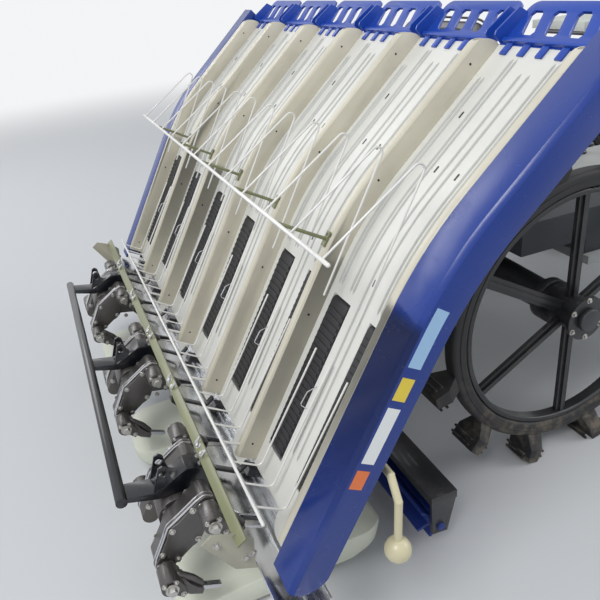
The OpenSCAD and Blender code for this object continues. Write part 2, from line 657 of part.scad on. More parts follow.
case_w = 84;
module planting_cases() color([0.3, 0.3, 0.31]) for (i = [0 : rows / 2 - 1])
    difference() {
        side_plate(case_y(i), case_w) {
            translate([rotor_x, rotor_z]) circle(44);
            polygon([[rotor_x - 12, rotor_z - 42], [rotor_x + 26, rotor_z + 35],
                [rotor_x + 105, rotor_z - 34],
                     [rotor_x + 190, rotor_z - 52], [beam_x - 30.3, beam_z + 14],
                         [beam_x - 30.3, beam_z - 28],
                     [beam_x - 120, beam_z - 40]]);
        }
        translate([rotor_x, case_y(i), rotor_z]) rotate([90, 0, 0])
            cylinder(h = case_w + 20, r = 16 + bore_gap, center = true);
    }

// Planting rotors: a shaft through each planting case with a rotor case at both ends
rotor_in = case_w / 2 + 7;
rotor_w = 62;
arm_w = 56;
arm_in = row_pitch / 2 - arm_w / 2;
arm_pin_r = 11;
function arm_pivot(k) = [rotor_x + k * arm_circle_r * cos(rotor_tilt),
    rotor_z + k * arm_circle_r * sin(rotor_tilt)];
rotor_end_r = 20;
rotor_mid_r = 38;
module rotor_outline(end_r, mid_r) {
    circle(mid_r + 2);
    for (k = [-1, 1]) translate([k * arm_circle_r, 0]) circle(end_r + 0.2);
    polygon([[-arm_circle_r, -end_r], [0, -mid_r], [arm_circle_r, -end_r], [arm_circle_r, end_r],
        [0, mid_r], [-arm_circle_r, end_r]]);
}
module planting_rotors() color([0.32, 0.32, 0.33]) for (i = [0 : rows / 2 - 1], side = [-1, 1])
    translate([0, case_y(i), 0]) {
        side_plate(side * (rotor_in + rotor_w / 2), rotor_w) translate([rotor_x, rotor_z])
            rotate(rotor_tilt) {
            rotor_outline(rotor_end_r, rotor_mid_r);
        }
        // split flange
        side_plate(side * (rotor_in + rotor_w - 12), 8) translate([rotor_x, rotor_z]) rotate(rotor_tilt)
            rotor_outline(rotor_end_r + 2.5, rotor_mid_r + 5);
        for (k = [-1, 1]) translate([arm_pivot(k)[0], side * (rotor_in + rotor_w - 1), arm_pivot(k)[1]])
            rotate([-side * 90, 0, 0]) cylinder(h = arm_in - rotor_in - rotor_w + arm_w + 6, r = arm_pin_r);
        if (side == 1) translate([rotor_x, 0, rotor_z]) rotate([90, 0, 0])
            cylinder(h = 2 * rotor_in + 2, r = 16, center = true);
    }
nose_w = 28;
module planting_arm(k, i, side)
    translate([arm_pivot(k)[0], case_y(i) + side * (arm_in + arm_w / 2), arm_pivot(k)[1]]) {
    difference() {
        union() {
            side_plate(0, arm_w) {
                circle(22);
                polygon([[-12, 18], [14, 17], [26, -4], [30, -30], [20, -38], [4, -22]]);
            }
            side_plate(0, nose_w) polygon([[10, 10], [30, -2], [40, -24], [52, -40], [66, -54], [60, -66],
                [34, -52], [6, -21]]);
            // claw
            side_plate(0, 12) polygon([[58, -60], [64, -52], [claw_reach, -claw_drop + 6],
                [claw_reach, -claw_drop],
                [claw_reach - 9, -claw_drop]]);
        }
        rotate([90, 0, 0]) cylinder(h = arm_w + 10, r = arm_pin_r + bore_gap, center = true);
    }
}
module upper_arms() color([0.35, 0.35, 0.36]) for (i = [0 : rows / 2 - 1], side = [-1, 1]) planting_arm(1,
    i, side);
module lower_arms() color([0.35, 0.35, 0.36]) for (i = [0 : rows / 2 - 1], side = [-1, 1]) planting_arm(-1,
    i, side);

// The steel rail that the table slides on, with its lip under the floor
rail_half = table_half + 100;
rail_lip = 36;
slot_w = 44;
rail_top = 70;
slot_foot = 4;
slot_flare = [58, 36];
module seedling_rail() color([0.78, 0.79, 0.8]) {
    at_low(-70) translate([0, -rail_half, -30]) cube([4, 2 * rail_half, 30 + slot_foot]);
    at_low(-70) translate([0, -rail_half, -34 - seat_gap]) cube([rail_lip, 2 * rail_half, 4]);
    // tooth plates that leave a slot for the claws at each row
    for (i = [0 : rows]) {
        y0 = i == 0 ? -rail_half : row_y(i - 1) + slot_w / 2;
        y1 = i == rows ? rail_half : row_y(i) - slot_w / 2;
        e0 = i == 0 ? 0 : slot_flare[1] - slot_w / 2;
        e1 = i == rows ? 0 : slot_flare[1] - slot_w / 2;
        at_low(-70) rotate([0, 90, 0]) linear_extrude(4) mirror([1, 0])
            polygon([[slot_foot + seat_gap, y0], [slot_flare[0], y0], [rail_top, y0 + e0],
                [rail_top, y1 - e1],
                     [slot_flare[0], y1], [slot_foot + seat_gap, y1]]);
    }
    // feet that stand on the planting cases
    for (i = [0 : rows / 2 - 1]) side_plate(case_y(i), 30)
        polygon([low_point(-69, -38), low_point(-60, -34 - 2 * seat_gap), low_point(-40, -34 - 2 * seat_gap),
                 [rotor_x + 200, rotor_z - 50.7], [rotor_x + 150, rotor_z - 43.2]]);
}

// Guard tube behind the claws, on folded brackets that reach forward to the rail
guard_p = [table_x - guard_back, table_z + 28];
guard_half = 636;
bracket_w = 52;
bracket_t = 5;
bracket_line = [guard_p + [6, -2], [table_x - 236, table_z + 13], [table_x - 164, table_z + 50],
    [table_x - 112, table_z + 40]];
hook_outline = [[-244, 18], [-224, 76], [-214, 80], [-205, 72], [-199, 31]];
module rear_guard() color([0.05, 0.05, 0.06]) {
    translate(at_y(guard_p, 0)) rotate([90, 0, 0]) cylinder(h = 2 * guard_half, r = guard_r, center = true);
    for (i = [0 : rows / 2 - 1]) difference() {
        union() {
            side_plate(case_y(i), bracket_w) for (k = [0 : 2]) {
                strip(bracket_line[k], bracket_line[k + 1], bracket_t);
                if (k > 0) translate(bracket_line[k]) circle(bracket_t / 2 + 0.2);
            }
            for (side = [-1, 1]) side_plate(case_y(i) + side * (bracket_w / 2 - bracket_t / 2 - 0.2),
                bracket_t) {
                polygon([guard_p + [4, 1], bracket_line[1] + [0, 1], bracket_line[2] + [0, 1],
                    bracket_line[3] + [1, 1],
                         low_point(-62, rail_top + 10), low_point(-70.3, rail_top + 1), low_point(-70.3, 40),
                         [table_x - 160, table_z - 4], [table_x - 182, table_z - 1],
                             [table_x - 238, table_z - 4],
                         guard_p + [4, -11]]);
                // hook loop over the bracket
                difference() {
                    translate([table_x, table_z]) polygon(hook_outline);
                    translate([table_x - 217, table_z + 58]) circle(8);
                }
            }
        }
        translate(at_y(guard_p, 0)) rotate([90, 0, 0])
            cylinder(h = 2 * guard_half + 2, r = guard_r + seat_gap, center = true);
    }
}

// Floats
float_w = 250;
float_round = 80;
float_spec = [[0, -830, -1440], [-2 * row_pitch, -900, -1450], [2 * row_pitch, -900, -1450]];
module floats() color([0.86, 0.85, 0.78]) for (f = float_spec)
    intersection() {
        side_plate(f[0], float_w) polygon([[f[1] - 8, 84], [f[1] - 40, 52], [f[1] - 110, 26],
            [f[2] + 30, 20], [f[2], 30],
            [f[2], 60], [f[2] + 40, 74], [f[1] - 250, 92], [f[1] - 20, 92]]);
        translate([(f[1] + f[2]) / 2, f[0], 0])
            linear_extrude(120) round_rect(f[1] - f[2] + 2, float_w + 1, float_round);
    }
module float_hangers() color([0.08, 0.08, 0.09]) for (f = float_spec) {
    side_plate(f[0], 30) polygon([[beam_x - 24, beam_z - 30.3], [beam_x + 24, beam_z - 30.3],
        [beam_x + 10, 120],
        [beam_x + 40, 92.3], [beam_x - 45, 92.3], [beam_x - 16, 120]]);
}

lev_x = -785;
lev_z = 78;
lev_r = 55;
lev_half = 780;
module leveling_frame() color([0.06, 0.06, 0.07]) {
    difference() {
        union() {
            for (side = [-1, 1]) block([lev_x + 10, side * (lev_half + 175) / 2, 168],
                [74, lev_half - 175, 24]);
            for (y = [-lev_half + 5, -300, 300, lev_half - 5]) {
                side_plate(y, 10) polygon([[lev_x - 24, 60], [lev_x + 20, 56], [lev_x + 45, 162],
                    [lev_x - 27, 178]]);
            }
            for (side = [-1, 1]) side_plate(side * 300, 30)
                polygon([[beam_x + 30.3, beam_z - 28], [beam_x + 30.3, beam_z + 10], [lev_x - 20, 180],
                    [lev_x - 20, 156]]);
        }
        translate([lev_x, 0, lev_z]) rotate([90, 0, 0])
            cylinder(h = 2 * lev_half + 20, r = 10 + bore_gap, center = true);
    }
}
lev_spans = [[-lev_half + 24, -316], [-284, 284], [316, lev_half - 24]];
module leveling_rotor() color([0.1, 0.18, 0.6]) translate([lev_x, 0, lev_z]) {
    rotate([90, 0, 0]) cylinder(h = 2 * lev_half + 10, r = 10, center = true);
    for (s = lev_spans) {
        translate([0, s[1], 0]) rotate([90, 0, 0]) linear_extrude(s[1] - s[0]) {
            circle(22);
            for (i = [0 : 5]) rotate(i * 60 + 15) translate([10, -4]) square([lev_r - 10, 8]);
        }
    }
}

module side_rods() color([0.8, 0.78, 0.7]) for (side = [-1, 1]) {
    p = [table_x + 156, side * 1000, table_z + 11];
    translate(p) sphere(r = 27, $fn = 40);
    bent_bar([p, [p[0] + 4, side * 1000, p[2] + 120], [p[0] + 6, side * 970, p[2] + 160],
        [p[0] + 6, side * 700, p[2] + 160],
              [beam_x + 10, side * 700, p[2] + 90], [beam_x + 10, side * 700, beam_z + 30.3]], 8);
}

// Seedling table
module panel_profile(y0, y1, n0, n1) translate([n0, y0]) square([n1 - n0, y1 - y0]);
floor_low = -10;
tongue_w = 100;
tongue_round = 34;
module floor_tongue(y) at_low(floor_low, y, -floor_t) linear_extrude(floor_t) {
    reach = tongue_len + floor_low;
    translate([-reach + tongue_round, -tongue_w / 2]) square([reach - tongue_round + 1, tongue_w]);
    translate([-reach, -tongue_w / 2 + tongue_round])
        square([tongue_round + 1, tongue_w - 2 * tongue_round]);
    for (k = [-1, 1]) translate([-reach + tongue_round + 0.3, k * (tongue_w / 2 - tongue_round - 0.3)])
        circle(tongue_round);
}
module table_floor() color([0.92, 0.92, 0.9]) difference() {
    union() {
        sweep(floor_low, divider_len) panel_profile(-table_half, table_half, -floor_t, 0);
        for (i = [0 : rows - 1]) floor_tongue(row_y(i) - row_pitch / 2 + divider_t + tongue_w / 2);
    }
    for (i = [0 : rows - 1], k = [-1, 1])
        at_low(65 - 3 + (belt_len + 6) / 2, row_y(i) + k * 80)
            cube([belt_len + 6, belt_w + 6, 30], center = true);
}
belt_t = 24;
belt_n = 1.5 - belt_t / 2;
module feed_belts() color([0.1, 0.1, 0.1]) difference() {
    for (i = [0 : rows - 1], k = [-1, 1]) at_low(65, row_y(i) + k * 80, belt_n) side_plate(0, belt_w) {
        for (x = [belt_t / 2, belt_len - belt_t / 2]) translate([x, 0]) circle(belt_t / 2);
        translate([belt_t / 2, -belt_t / 2]) square([belt_len - belt_t, belt_t]);
    }
    for (s = [belt_t / 2, belt_len - belt_t / 2]) at_low(65 + s, 0, belt_n) rotate([90, 0, 0])
        cylinder(h = 2 * table_half + 40, r = 6 + bore_gap, center = true);
}
// A divider is a hollow channel, open to the floor, with soft upper edges
divider_wall = 3;
module divider_profile() let (h = divider_h, w = divider_t / 2, v = divider_t / 2 - divider_wall)
    polygon([[seat_gap, -w], [h - 6, -w], [h - 1.8, -w + 2.4], [h, -w + 6], [h, w - 6], [h - 1.8, w - 2.4],
        [h - 6, w], [seat_gap, w], [seat_gap, v], [h - 8, v], [h - 4.5, v - 4], [h - 4.5, -v + 4],
            [h - 8, -v],
        [seat_gap, -v]]);
// the upper ends fall off in a large round
divider_round = 60;
module round_corner(s, n, up, right) translate([s, n]) difference() {
    translate([right > 0 ? 2 - divider_round : -20, up > 0 ? 2 - divider_round : -20])
        square(divider_round + 18);
    translate([right * (2 - divider_round), up * (2 - divider_round)]) circle(divider_round);
}
module row_dividers() color([0.82, 0.8, 0.72]) for (i = [0 : rows]) difference() {
    sweep(0, divider_len) translate([0, divider_y(i)]) divider_profile();
    at_up(divider_len, divider_y(i)) side_plate(0, divider_t + 10) round_corner(0, divider_h, 1, 1);
}
cover_out = table_half + cover_w;
cover_low = -46;
cover_t = 3;
module cover_profile() polygon([
    [-floor_t, table_half + seat_gap], [divider_h, table_half + seat_gap], [divider_h, cover_out - 9],
    [divider_h - 9, cover_out], [divider_h - cover_depth, cover_out],
    [divider_h - cover_depth, cover_out - cover_t], [divider_h - 10, cover_out - cover_t],
    [divider_h - cover_t, cover_out - 10], [divider_h - cover_t, table_half + seat_gap + cover_t],
    [-floor_t, table_half + seat_gap + cover_t]]);
module side_covers() color([0.05, 0.13, 0.5]) for (side = [-1, 1]) mirror([0, side < 0 ? 1 : 0, 0])
    difference() {
    sweep(cover_low, divider_len + 20) cover_profile();
    // large round at the flange's lower corner, and a notch over the rail
    at_low(cover_low, cover_out) side_plate(0, 12) round_corner(0, divider_h - cover_depth, -1, -1);
    at_low(cover_low - 10, table_half - 5, -30) cube([34, cover_w - 22, 74]);
    at_up(divider_len + 20, cover_out) side_plate(0, 12) round_corner(0, divider_h - cover_depth, -1, 1);
}
// Extension grids: a ladder plate with slanting windows, side flanges and tabs over the floor
grid_t = 7;
grid_half = row_pitch / 2 - 12;
grid_round = 22;
window_count = 4;
window_pitch = 64;
module grid_window() polygon([[-30, -24], [-22, -29], [22, -13], [30, -5], [30, 17], [22, 22], [-22, 6],
    [-30, -2]]);
module grid_plate() difference() {
    union() {
        translate([0, -grid_half]) square([grid_len - grid_round, 2 * grid_half]);
        translate([0, -grid_half + grid_round]) square([grid_len, 2 * (grid_half - grid_round)]);
        for (k = [-1, 1]) translate([grid_len - grid_round - 0.4, k * (grid_half - grid_round - 0.4)])
            circle(grid_round);
    }
    for (j = [0 : window_count - 1])
        translate([grid_len / 2 + 2, (j - (window_count - 1) / 2) * window_pitch]) grid_window();
}
module extension_grids() color([0.1, 0.25, 0.75]) for (i = [0 : rows - 1])
    at_up(divider_len + seat_gap, row_y(i)) {
        translate([0, 0, -grid_t]) linear_extrude(grid_t) grid_plate();
        // flanges along both sides
        for (k = [-1, 1]) side_plate(k * (grid_half - 3.5), 5)
            polygon([[2, -3], [grid_len - 26, -3], [grid_len - 34, 22], [10, 30], [2, 26]]);
        // hinge rib and tabs
        translate([3, -grid_half + 12, -1]) cube([9, 2 * grid_half - 24, 12]);
        for (j = [0 : 4]) translate([-24, (j - 2) * 52 - 9, seat_gap]) cube([36, 18, 4]);
    }
module table_frame() color([0.08, 0.08, 0.09]) {
    // channel that rides on the guide rollers
    translate([roller[0], 0, roller[1]])
        rotate([0, -table_slope + (roller_s - straight_len) / bend_r * 180 / PI, 0]) {
        translate([-22, -table_half + 10, -17]) cube([4, 2 * table_half - 20, 75]);
        translate([18, -table_half + 10, -17]) cube([4, 2 * table_half - 20, 75]);
        translate([-22, -table_half + 10, 18]) cube([44, 2 * table_half - 20, 4]);
    }
    // side brackets that carry the belt shafts
    for (side = [-1, 1]) at_low(0, side * (table_half - 4)) translate([-28, -4, -40]) cube([506, 8, 36.7]);
    for (s = [belt_t / 2, belt_len - belt_t / 2]) at_low(65 + s, 0, belt_n) rotate([90, 0, 0])
        cylinder(h = 2 * table_half - 8, r = 6, center = true);
    for (i = [0 : rows]) at_low(-58, -table_half + 25 + i * (2 * table_half - 50) / rows, -29.7)
        translate([0, -15, 0]) cube([20, 30, 26.4]);
}
// Mat holders. The upper one has two hairpins a row on a cross bar, the lower one three bent wires a row.
wire_r = 2.4;
wire_pitch = 75;
holder_bar = low_point(549, 179);
holder_bar_r = 4.5;
hairpin = [holder_bar, low_point(804, 58), low_point(450, 50)];
low_bar = low_point(28, 97);
low_bar_r = 4;
low_wire = [low_bar, low_point(25, 22), low_point(330, 14)];
function divider_y(i) = -table_half + i * row_pitch + (i == 0 ? divider_t / 2 : 0) - (i == rows ?
    divider_t / 2 : 0);
module cross_bar(q, half, r) translate(at_y(q, 0)) rotate([90, 0, 0])
    cylinder(h = 2 * half, r = r, center = true);
module mat_holder() color([0.9, 0.9, 0.88]) {
    cross_bar(holder_bar, 850, holder_bar_r);
    for (i = [0 : rows - 1], k = [-1, 1]) wire(hairpin, row_y(i) + k * wire_pitch, wire_r, 12, 4);
}
module holder_stays() color([0.45, 0.45, 0.36]) for (i = [1 : rows - 1]) {
    foot = arc_point(547, divider_h + seat_gap);
    difference() {
        bar(at_y(foot, divider_y(i)), at_y(holder_bar, divider_y(i)), 4);
        cross_bar(holder_bar, table_half, holder_bar_r + seat_gap);
    }
    translate(at_y(foot, divider_y(i))) rotate([0, -table_slope + 3, 0]) translate([0, 0, 3])
        cube([34, 14, 5], center = true);
}
module lower_holder() color([0.9, 0.9, 0.88]) {
    cross_bar(low_bar, 877, low_bar_r);
    for (i = [0 : rows - 1], k = [-1 : 1]) wire(low_wire, row_y(i) + k * wire_pitch, wire_r, 12, 2);
    for (i = [1 : rows - 1]) bar(at_y(low_point(28, divider_h + seat_gap), divider_y(i)),
        at_y(low_bar, divider_y(i)), 3.4);
}
// Flat bar along the lower edge, on short arms over the rail and the guard's brackets
stop_bar_at = low_point(0, 139);
stop_bar_half = 900;
module stop_box(grow) translate(at_y(stop_bar_at, 0)) rotate([0, -table_slope + 25, 0])
    cube([24 + 2 * grow, 2 * stop_bar_half, 5 + 2 * grow], center = true);
module stop_bar() color([0.55, 0.56, 0.36]) stop_box(0);
stop_under = [[table_x - 113.1, table_z + 71.2], [table_x - 124.5, table_z + 63.2]];
module stop_arms() color([0.05, 0.05, 0.06]) {
    for (i = [0 : rows / 2 - 1]) side_plate(case_y(i), 24)
        polygon(concat(stop_under, [[table_x - 127.5, table_z + 45.9], [table_x - 112.5, table_z + 43]]));
    for (k = [-1, 1]) side_plate(k * row_pitch, 24)
        polygon(concat(stop_under, [low_point(-49, 126), low_point(-75, rail_top + seat_gap),
                                    low_point(-61, rail_top + seat_gap), low_point(-35, 122)]));
}
module take_out_guides() color([0.06, 0.06, 0.065]) for (i = [0 : rows - 1]) {
    for (k = [-1, 1]) at_low(-84, row_y(i) + k * (slot_w / 2 + 11), -34) translate([0, -9, 0])
        cube([13.7, 18, 78]);
    at_low(-79, row_y(i), -34) translate([0, -slot_w / 2 - 12, 0]) cube([8.7, slot_w + 24, 7]);
}

// Beige plates at both ends of the rail, on a black bracket each
end_y = 872;
module end_plates() color([0.68, 0.66, 0.58]) difference() {
    for (side = [-1, 1]) side_plate(side * end_y, 3)
        polygon([[table_x - 120, table_z + 68], [table_x - 92, table_z + 42], low_point(-70.3, rail_top),
            low_point(-70.3, -28),
                 [table_x - 137, table_z - 20], [table_x - 194, table_z + 72],
                     [table_x - 171, table_z + 89]]);
    stop_box(seat_gap);
}

chassis_frame();
engine_block();
gearcase();
rear_axle();
step_deck();
seat_cowl();
seat();
dash_console();
control_levers();
nose_cowl();
rack_frames();
seedling_trays();
centre_marker();
bonnet();
headlamp();
steering_wheel();
knuckle_left();
knuckle_right();
front_rim_left();
front_tyre_left();
front_rim_right();
front_tyre_right();
rear_rim_left();
rear_tyre_left();
rear_rim_right();
rear_tyre_right();
lower_links();
top_link();
drive_shaft();
lift_cylinder();
lift_rod();
planter_frame();
planting_cases();
seedling_rail();
rear_guard();
floats();
float_hangers();
side_rods();
leveling_frame();
leveling_rotor();
table_floor();
row_dividers();
side_covers();
extension_grids();
feed_belts();
table_frame();
mat_holder();
holder_stays();
lower_holder();
stop_bar();
stop_arms();
end_plates();
take_out_guides();
planting_rotors();
upper_arms();
lower_arms();
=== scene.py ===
# %% [markdown]
# # A six-row riding rice transplanter
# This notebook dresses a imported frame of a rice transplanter. The frame already has every tube, sheet,
# wheel and joint at its true size. Blender adds the finishes, the padded seat and the small things that
# make the eye believe the rest: bolts, ribs, wires, clamps and labels.

# %% Load the frame
import json
from math import cos, pi, radians, sin, tan

import bmesh
import bpy
import numpy as np
from mathutils import Matrix, Vector


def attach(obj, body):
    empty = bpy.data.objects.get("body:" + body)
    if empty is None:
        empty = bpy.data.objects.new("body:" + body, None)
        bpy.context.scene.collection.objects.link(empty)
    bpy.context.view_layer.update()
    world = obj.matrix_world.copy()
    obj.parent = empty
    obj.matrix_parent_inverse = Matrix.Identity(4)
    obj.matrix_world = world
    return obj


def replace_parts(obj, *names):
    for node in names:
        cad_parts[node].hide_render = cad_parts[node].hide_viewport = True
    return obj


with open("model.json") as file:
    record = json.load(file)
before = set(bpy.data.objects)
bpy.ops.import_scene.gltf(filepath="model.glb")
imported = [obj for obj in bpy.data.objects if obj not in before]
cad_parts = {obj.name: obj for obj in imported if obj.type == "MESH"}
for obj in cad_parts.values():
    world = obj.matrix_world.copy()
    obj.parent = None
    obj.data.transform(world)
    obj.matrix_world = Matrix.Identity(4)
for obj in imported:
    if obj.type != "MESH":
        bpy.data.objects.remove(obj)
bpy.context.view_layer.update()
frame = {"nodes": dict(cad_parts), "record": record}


def placed(name, data):
    """A new object of the scene that shows a mesh, a camera or a lamp."""
    thing = bpy.data.objects.new(name, data)
    bpy.context.collection.objects.link(thing)
    return thing


# %% [markdown]
# ## The view
# The camera stands behind the machine, to its right, and looks forward and down over the seedling table.
# Its place was solved from the slopes of the table and the even spacing of the rows, and which way is up
# was chosen between cues that disagree. It is written here as a point and three directions.

# %% Camera
LOOK = Vector((0.30817, 0.83419, -0.45735))
RIGHT = Vector((0.91725, -0.38806, -0.08976))
UP = Vector((0.25236, 0.39184, 0.88475))
CAMERA_PLACE = Vector((-1.4652, -1.7650, 1.3553))
FOCAL_PIXELS, PICTURE_PIXELS = 637.98, 600.0
SENSOR_WIDTH = 36.0

camera_data = bpy.data.cameras.new("view_camera")
camera_data.sensor_width = SENSOR_WIDTH
camera_data.sensor_fit = "HORIZONTAL"
camera_data.lens = SENSOR_WIDTH * FOCAL_PIXELS / PICTURE_PIXELS
camera_data.clip_start = 0.05
camera = placed("view_camera", camera_data)
turn = Matrix((RIGHT, UP, -LOOK)).transposed().to_4x4()
camera.matrix_world = Matrix.Translation(CAMERA_PLACE) @ turn
bpy.context.scene.camera = camera
print("lens", round(camera_data.lens, 2), "mm")

# %% [markdown]
# ## Light and floor
# A pale studio: one broad lamp high on the camera's side, two softer ones from the left and the front, and
# an even world. The floor is plain and pale. The camera and glossy surfaces see the world as nearly white.

# %% Floor and lamps
def area_lamp(name, place, aim, size, watts):
    data = bpy.data.lights.new(name, "AREA")
    data.shape = "DISK"
    data.size = size
    data.energy = watts
    lamp = placed(name, data)
    lamp.location = place
    lamp.rotation_euler = (Vector(aim) - Vector(place)).to_track_quat("-Z", "Y").to_euler()


area_lamp("key_lamp", (-3.6, -2.6, 4.6), (-0.9, -0.2, 0.5), 2.4, 165)
area_lamp("fill_lamp", (-3.0, 4.2, 3.4), (-0.6, 0.0, 0.5), 3.2, 70)
area_lamp("front_lamp", (4.5, -2.4, 3.4), (0.6, 0.0, 0.6), 3.2, 105)

HALF_FLOOR = 30.0
corners = [(x * HALF_FLOOR, y * HALF_FLOOR, 0) for x, y in ((-1, -1), (1, -1), (1, 1), (-1, 1))]
floor_mesh = bpy.data.meshes.new("studio_floor")
floor_mesh.from_pydata(corners, [], [(0, 1, 2, 3)])
floor = placed("studio_floor", floor_mesh)

# %% [markdown]
# ## Writing shader maths as expressions
# A finish is easier to read as a formula than as a web of nodes. `Value` wraps one socket. Adding or
# multiplying two of them adds the Math node for it. `Finish` holds a material and makes every other node.

# %% The socket class
class Value:
    """One number that varies over a surface, which can be used in a plain expression."""

    def __init__(self, tree, socket):
        self.tree = tree
        self.socket = socket

    def maths(self, operation, *terms):
        node = self.tree.nodes.new("ShaderNodeMath")
        node.operation = operation
        for place, term in enumerate(terms):
            connect(self.tree, term, node.inputs[place])
        return Value(self.tree, node.outputs[0])

    def __add__(self, other):
        return self.maths("ADD", self, other)

    def __rsub__(self, other):
        return self.maths("SUBTRACT", other, self)

    def __mul__(self, other):
        return self.maths("MULTIPLY", self, other)

    def clamp(self):
        node = self.tree.nodes.new("ShaderNodeClamp")
        connect(self.tree, self, node.inputs[0])
        return Value(self.tree, node.outputs[0])

    def smooth(self, low, high):
        """0 below low, 1 above high and an S-shaped step between them."""
        node = self.tree.nodes.new("ShaderNodeMapRange")
        node.interpolation_type = "SMOOTHSTEP"
        connect(self.tree, self, node.inputs["Value"])
        node.inputs["From Min"].default_value = low
        node.inputs["From Max"].default_value = high
        return Value(self.tree, node.outputs["Result"])


def connect(tree, term, socket):
    """Sets a socket to a number or colour, or links it to another socket."""
    term = term.socket if isinstance(term, Value) else term
    if isinstance(term, bpy.types.NodeSocket):
        tree.links.new(term, socket)
    elif hasattr(term, "__len__") and len(term) == 3 and len(socket.default_value) == 4:
        socket.default_value = (*term, 1.0)
    else:
        socket.default_value = term


class Finish:
    """A material under way, with Object coordinates ready for its patterns."""

    def __init__(self, name, colour, roughness=0.5, metallic=0.0, coat=0.0):
        self.material = bpy.data.materials.new(name)
        self.material.use_nodes = True
        self.tree = self.material.node_tree
        self.shader = self.tree.nodes["Principled BSDF"]
        self.set("Base Color", colour)
        self.set("Roughness", roughness)
        self.set("Metallic", metallic)
        self.set("Coat Weight", coat)
        self.place = self.tree.nodes.new("ShaderNodeTexCoord").outputs["Object"]

    def set(self, name, term):
        connect(self.tree, term, self.shader.inputs[name])

    def node(self, kind, inputs, **settings):
        """Adds a node, sets its own settings first and then its inputs by name or place."""
        node = self.tree.nodes.new(kind)
        for key, value in settings.items():
            setattr(node, key, value)
        for key, term in inputs.items():
            connect(self.tree, term, node.inputs[key])
        return node

    def noise(self, scale, detail=3.0, stretch=(1.0, 1.0, 1.0), rough=0.5):
        place = self.node("ShaderNodeVectorMath", {0: self.place, 1: stretch}, operation="MULTIPLY")
        inputs = {"Vector": place.outputs[0], "Scale": scale, "Detail": detail, "Roughness": rough}
        return Value(self.tree, self.node("ShaderNodeTexNoise", inputs).outputs["Fac"])

    def axis(self, name):
        node = self.node("ShaderNodeSeparateXYZ", {0: self.place})
        return Value(self.tree, node.outputs[name])

    def blend(self, factor, first, second):
        """Colour between first (factor 0) and second (factor 1)."""
        node = self.node("ShaderNodeMix", {"Factor": factor, 6: first, 7: second}, data_type="RGBA")
        return node.outputs[2]

    def dressed(self, colour, roughness, height, distance, strength):
        """The material, once its colour, its roughness and the height of its bump are set."""
        self.set("Base Color", colour)
        self.set("Roughness", roughness.clamp())
        inputs = {"Height": height, "Distance": distance, "Strength": strength}
        self.set("Normal", self.node("ShaderNodeBump", inputs).outputs["Normal"])
        return self.material


def shade(colour, factor):
    """A darker or lighter version of a colour, worked out in Python."""
    return tuple(min(1.0, c * factor) for c in colour)


print("the shader tools are ready")

# %% [markdown]
# ## Finishes
# Most of the machine is painted steel and moulded plastic, lightly used: the colour wanders by a few
# per cent, gloss is broken by fine dust, and the grain of the moulding gives a small bump. Each family of
# finish is one function, and its numbers make the members of the family.

# %% Paint, plastic, castings and rubber
DUST = (0.36, 0.33, 0.28)
MUD = (0.20, 0.17, 0.13)
RUBBED = (0.30, 0.30, 0.31)


def paint(name, colour, rough=0.38, coat=0.25, dust=0.10, grain=0.00012):
    """Sprayed paint: faint cloudiness in the colour, duller patches, and orange-peel bump."""
    f = Finish(name, colour, rough, 0.0, coat)
    cloud = f.noise(7.0, 4.0)
    speck = f.noise(160.0, 2.0).smooth(0.56, 0.72)
    dirt = (cloud.smooth(0.45, 0.8) * 0.6 + speck * 0.4) * dust
    tone = f.blend(cloud.smooth(0.3, 0.7), shade(colour, 0.93), shade(colour, 1.06))
    roughness = cloud * 0.14 + (rough - 0.07) + dirt * 0.6
    return f.dressed(f.blend(dirt, tone, DUST), roughness, f.noise(420.0, 2.0), grain, 0.35)


def moulded(name, colour, rough=0.45, dust=0.08, grain=0.0002):
    """Injection-moulded plastic: an even colour, fine spark-eroded grain and a few pale scuffs."""
    f = Finish(name, colour, rough)
    cloud = f.noise(5.0, 3.0)
    scuff = f.noise(38.0, 5.0, (1.0, 0.25, 1.0), 0.65).smooth(0.62, 0.78)
    tone = f.blend(cloud.smooth(0.3, 0.7), shade(colour, 0.95), shade(colour, 1.04))
    dirt = (scuff * 0.7 + cloud.smooth(0.55, 0.85) * 0.5) * dust
    roughness = cloud * 0.12 + (rough - 0.06) + scuff * 0.12
    skin = f.noise(900.0, 1.0) * 0.6 + f.noise(60.0, 2.0) * 0.4
    return f.dressed(f.blend(dirt, tone, DUST), roughness, skin, grain, 0.4)


def casting(name, colour, rough=0.5, metal=0.35):
    """Sand-cast aluminium under dark paint: coarse skin, worn brighter where it is rubbed."""
    f = Finish(name, colour, rough, metal, 0.1)
    skin = f.noise(230.0, 3.0)
    cloud = f.noise(14.0, 4.0)
    worn = cloud.smooth(0.58, 0.76) * skin.smooth(0.42, 0.6)
    tone = f.blend(cloud, shade(colour, 0.8), shade(colour, 1.25))
    f.set("Metallic", (worn * 0.5 + metal).clamp())
    return f.dressed(f.blend(worn * 0.6, tone, RUBBED), skin * 0.2 + (rough - 0.1), skin, 0.0006, 0.5)


def bare_metal(name, colour, rough, stretch=(1.0, 1.0, 1.0)):
    """Rolled or drawn metal: one grain in colour, roughness and bump, drawn out along a small stretch."""
    f = Finish(name, colour, rough, 1.0)
    streak = f.noise(90.0, 4.0, stretch)
    smear = f.noise(6.0, 3.0)
    tone = f.blend(streak, shade(colour, 0.86), shade(colour, 1.05))
    return f.dressed(tone, streak * 0.12 + smear * 0.16 + (rough - 0.12), streak, 0.00008, 0.3)


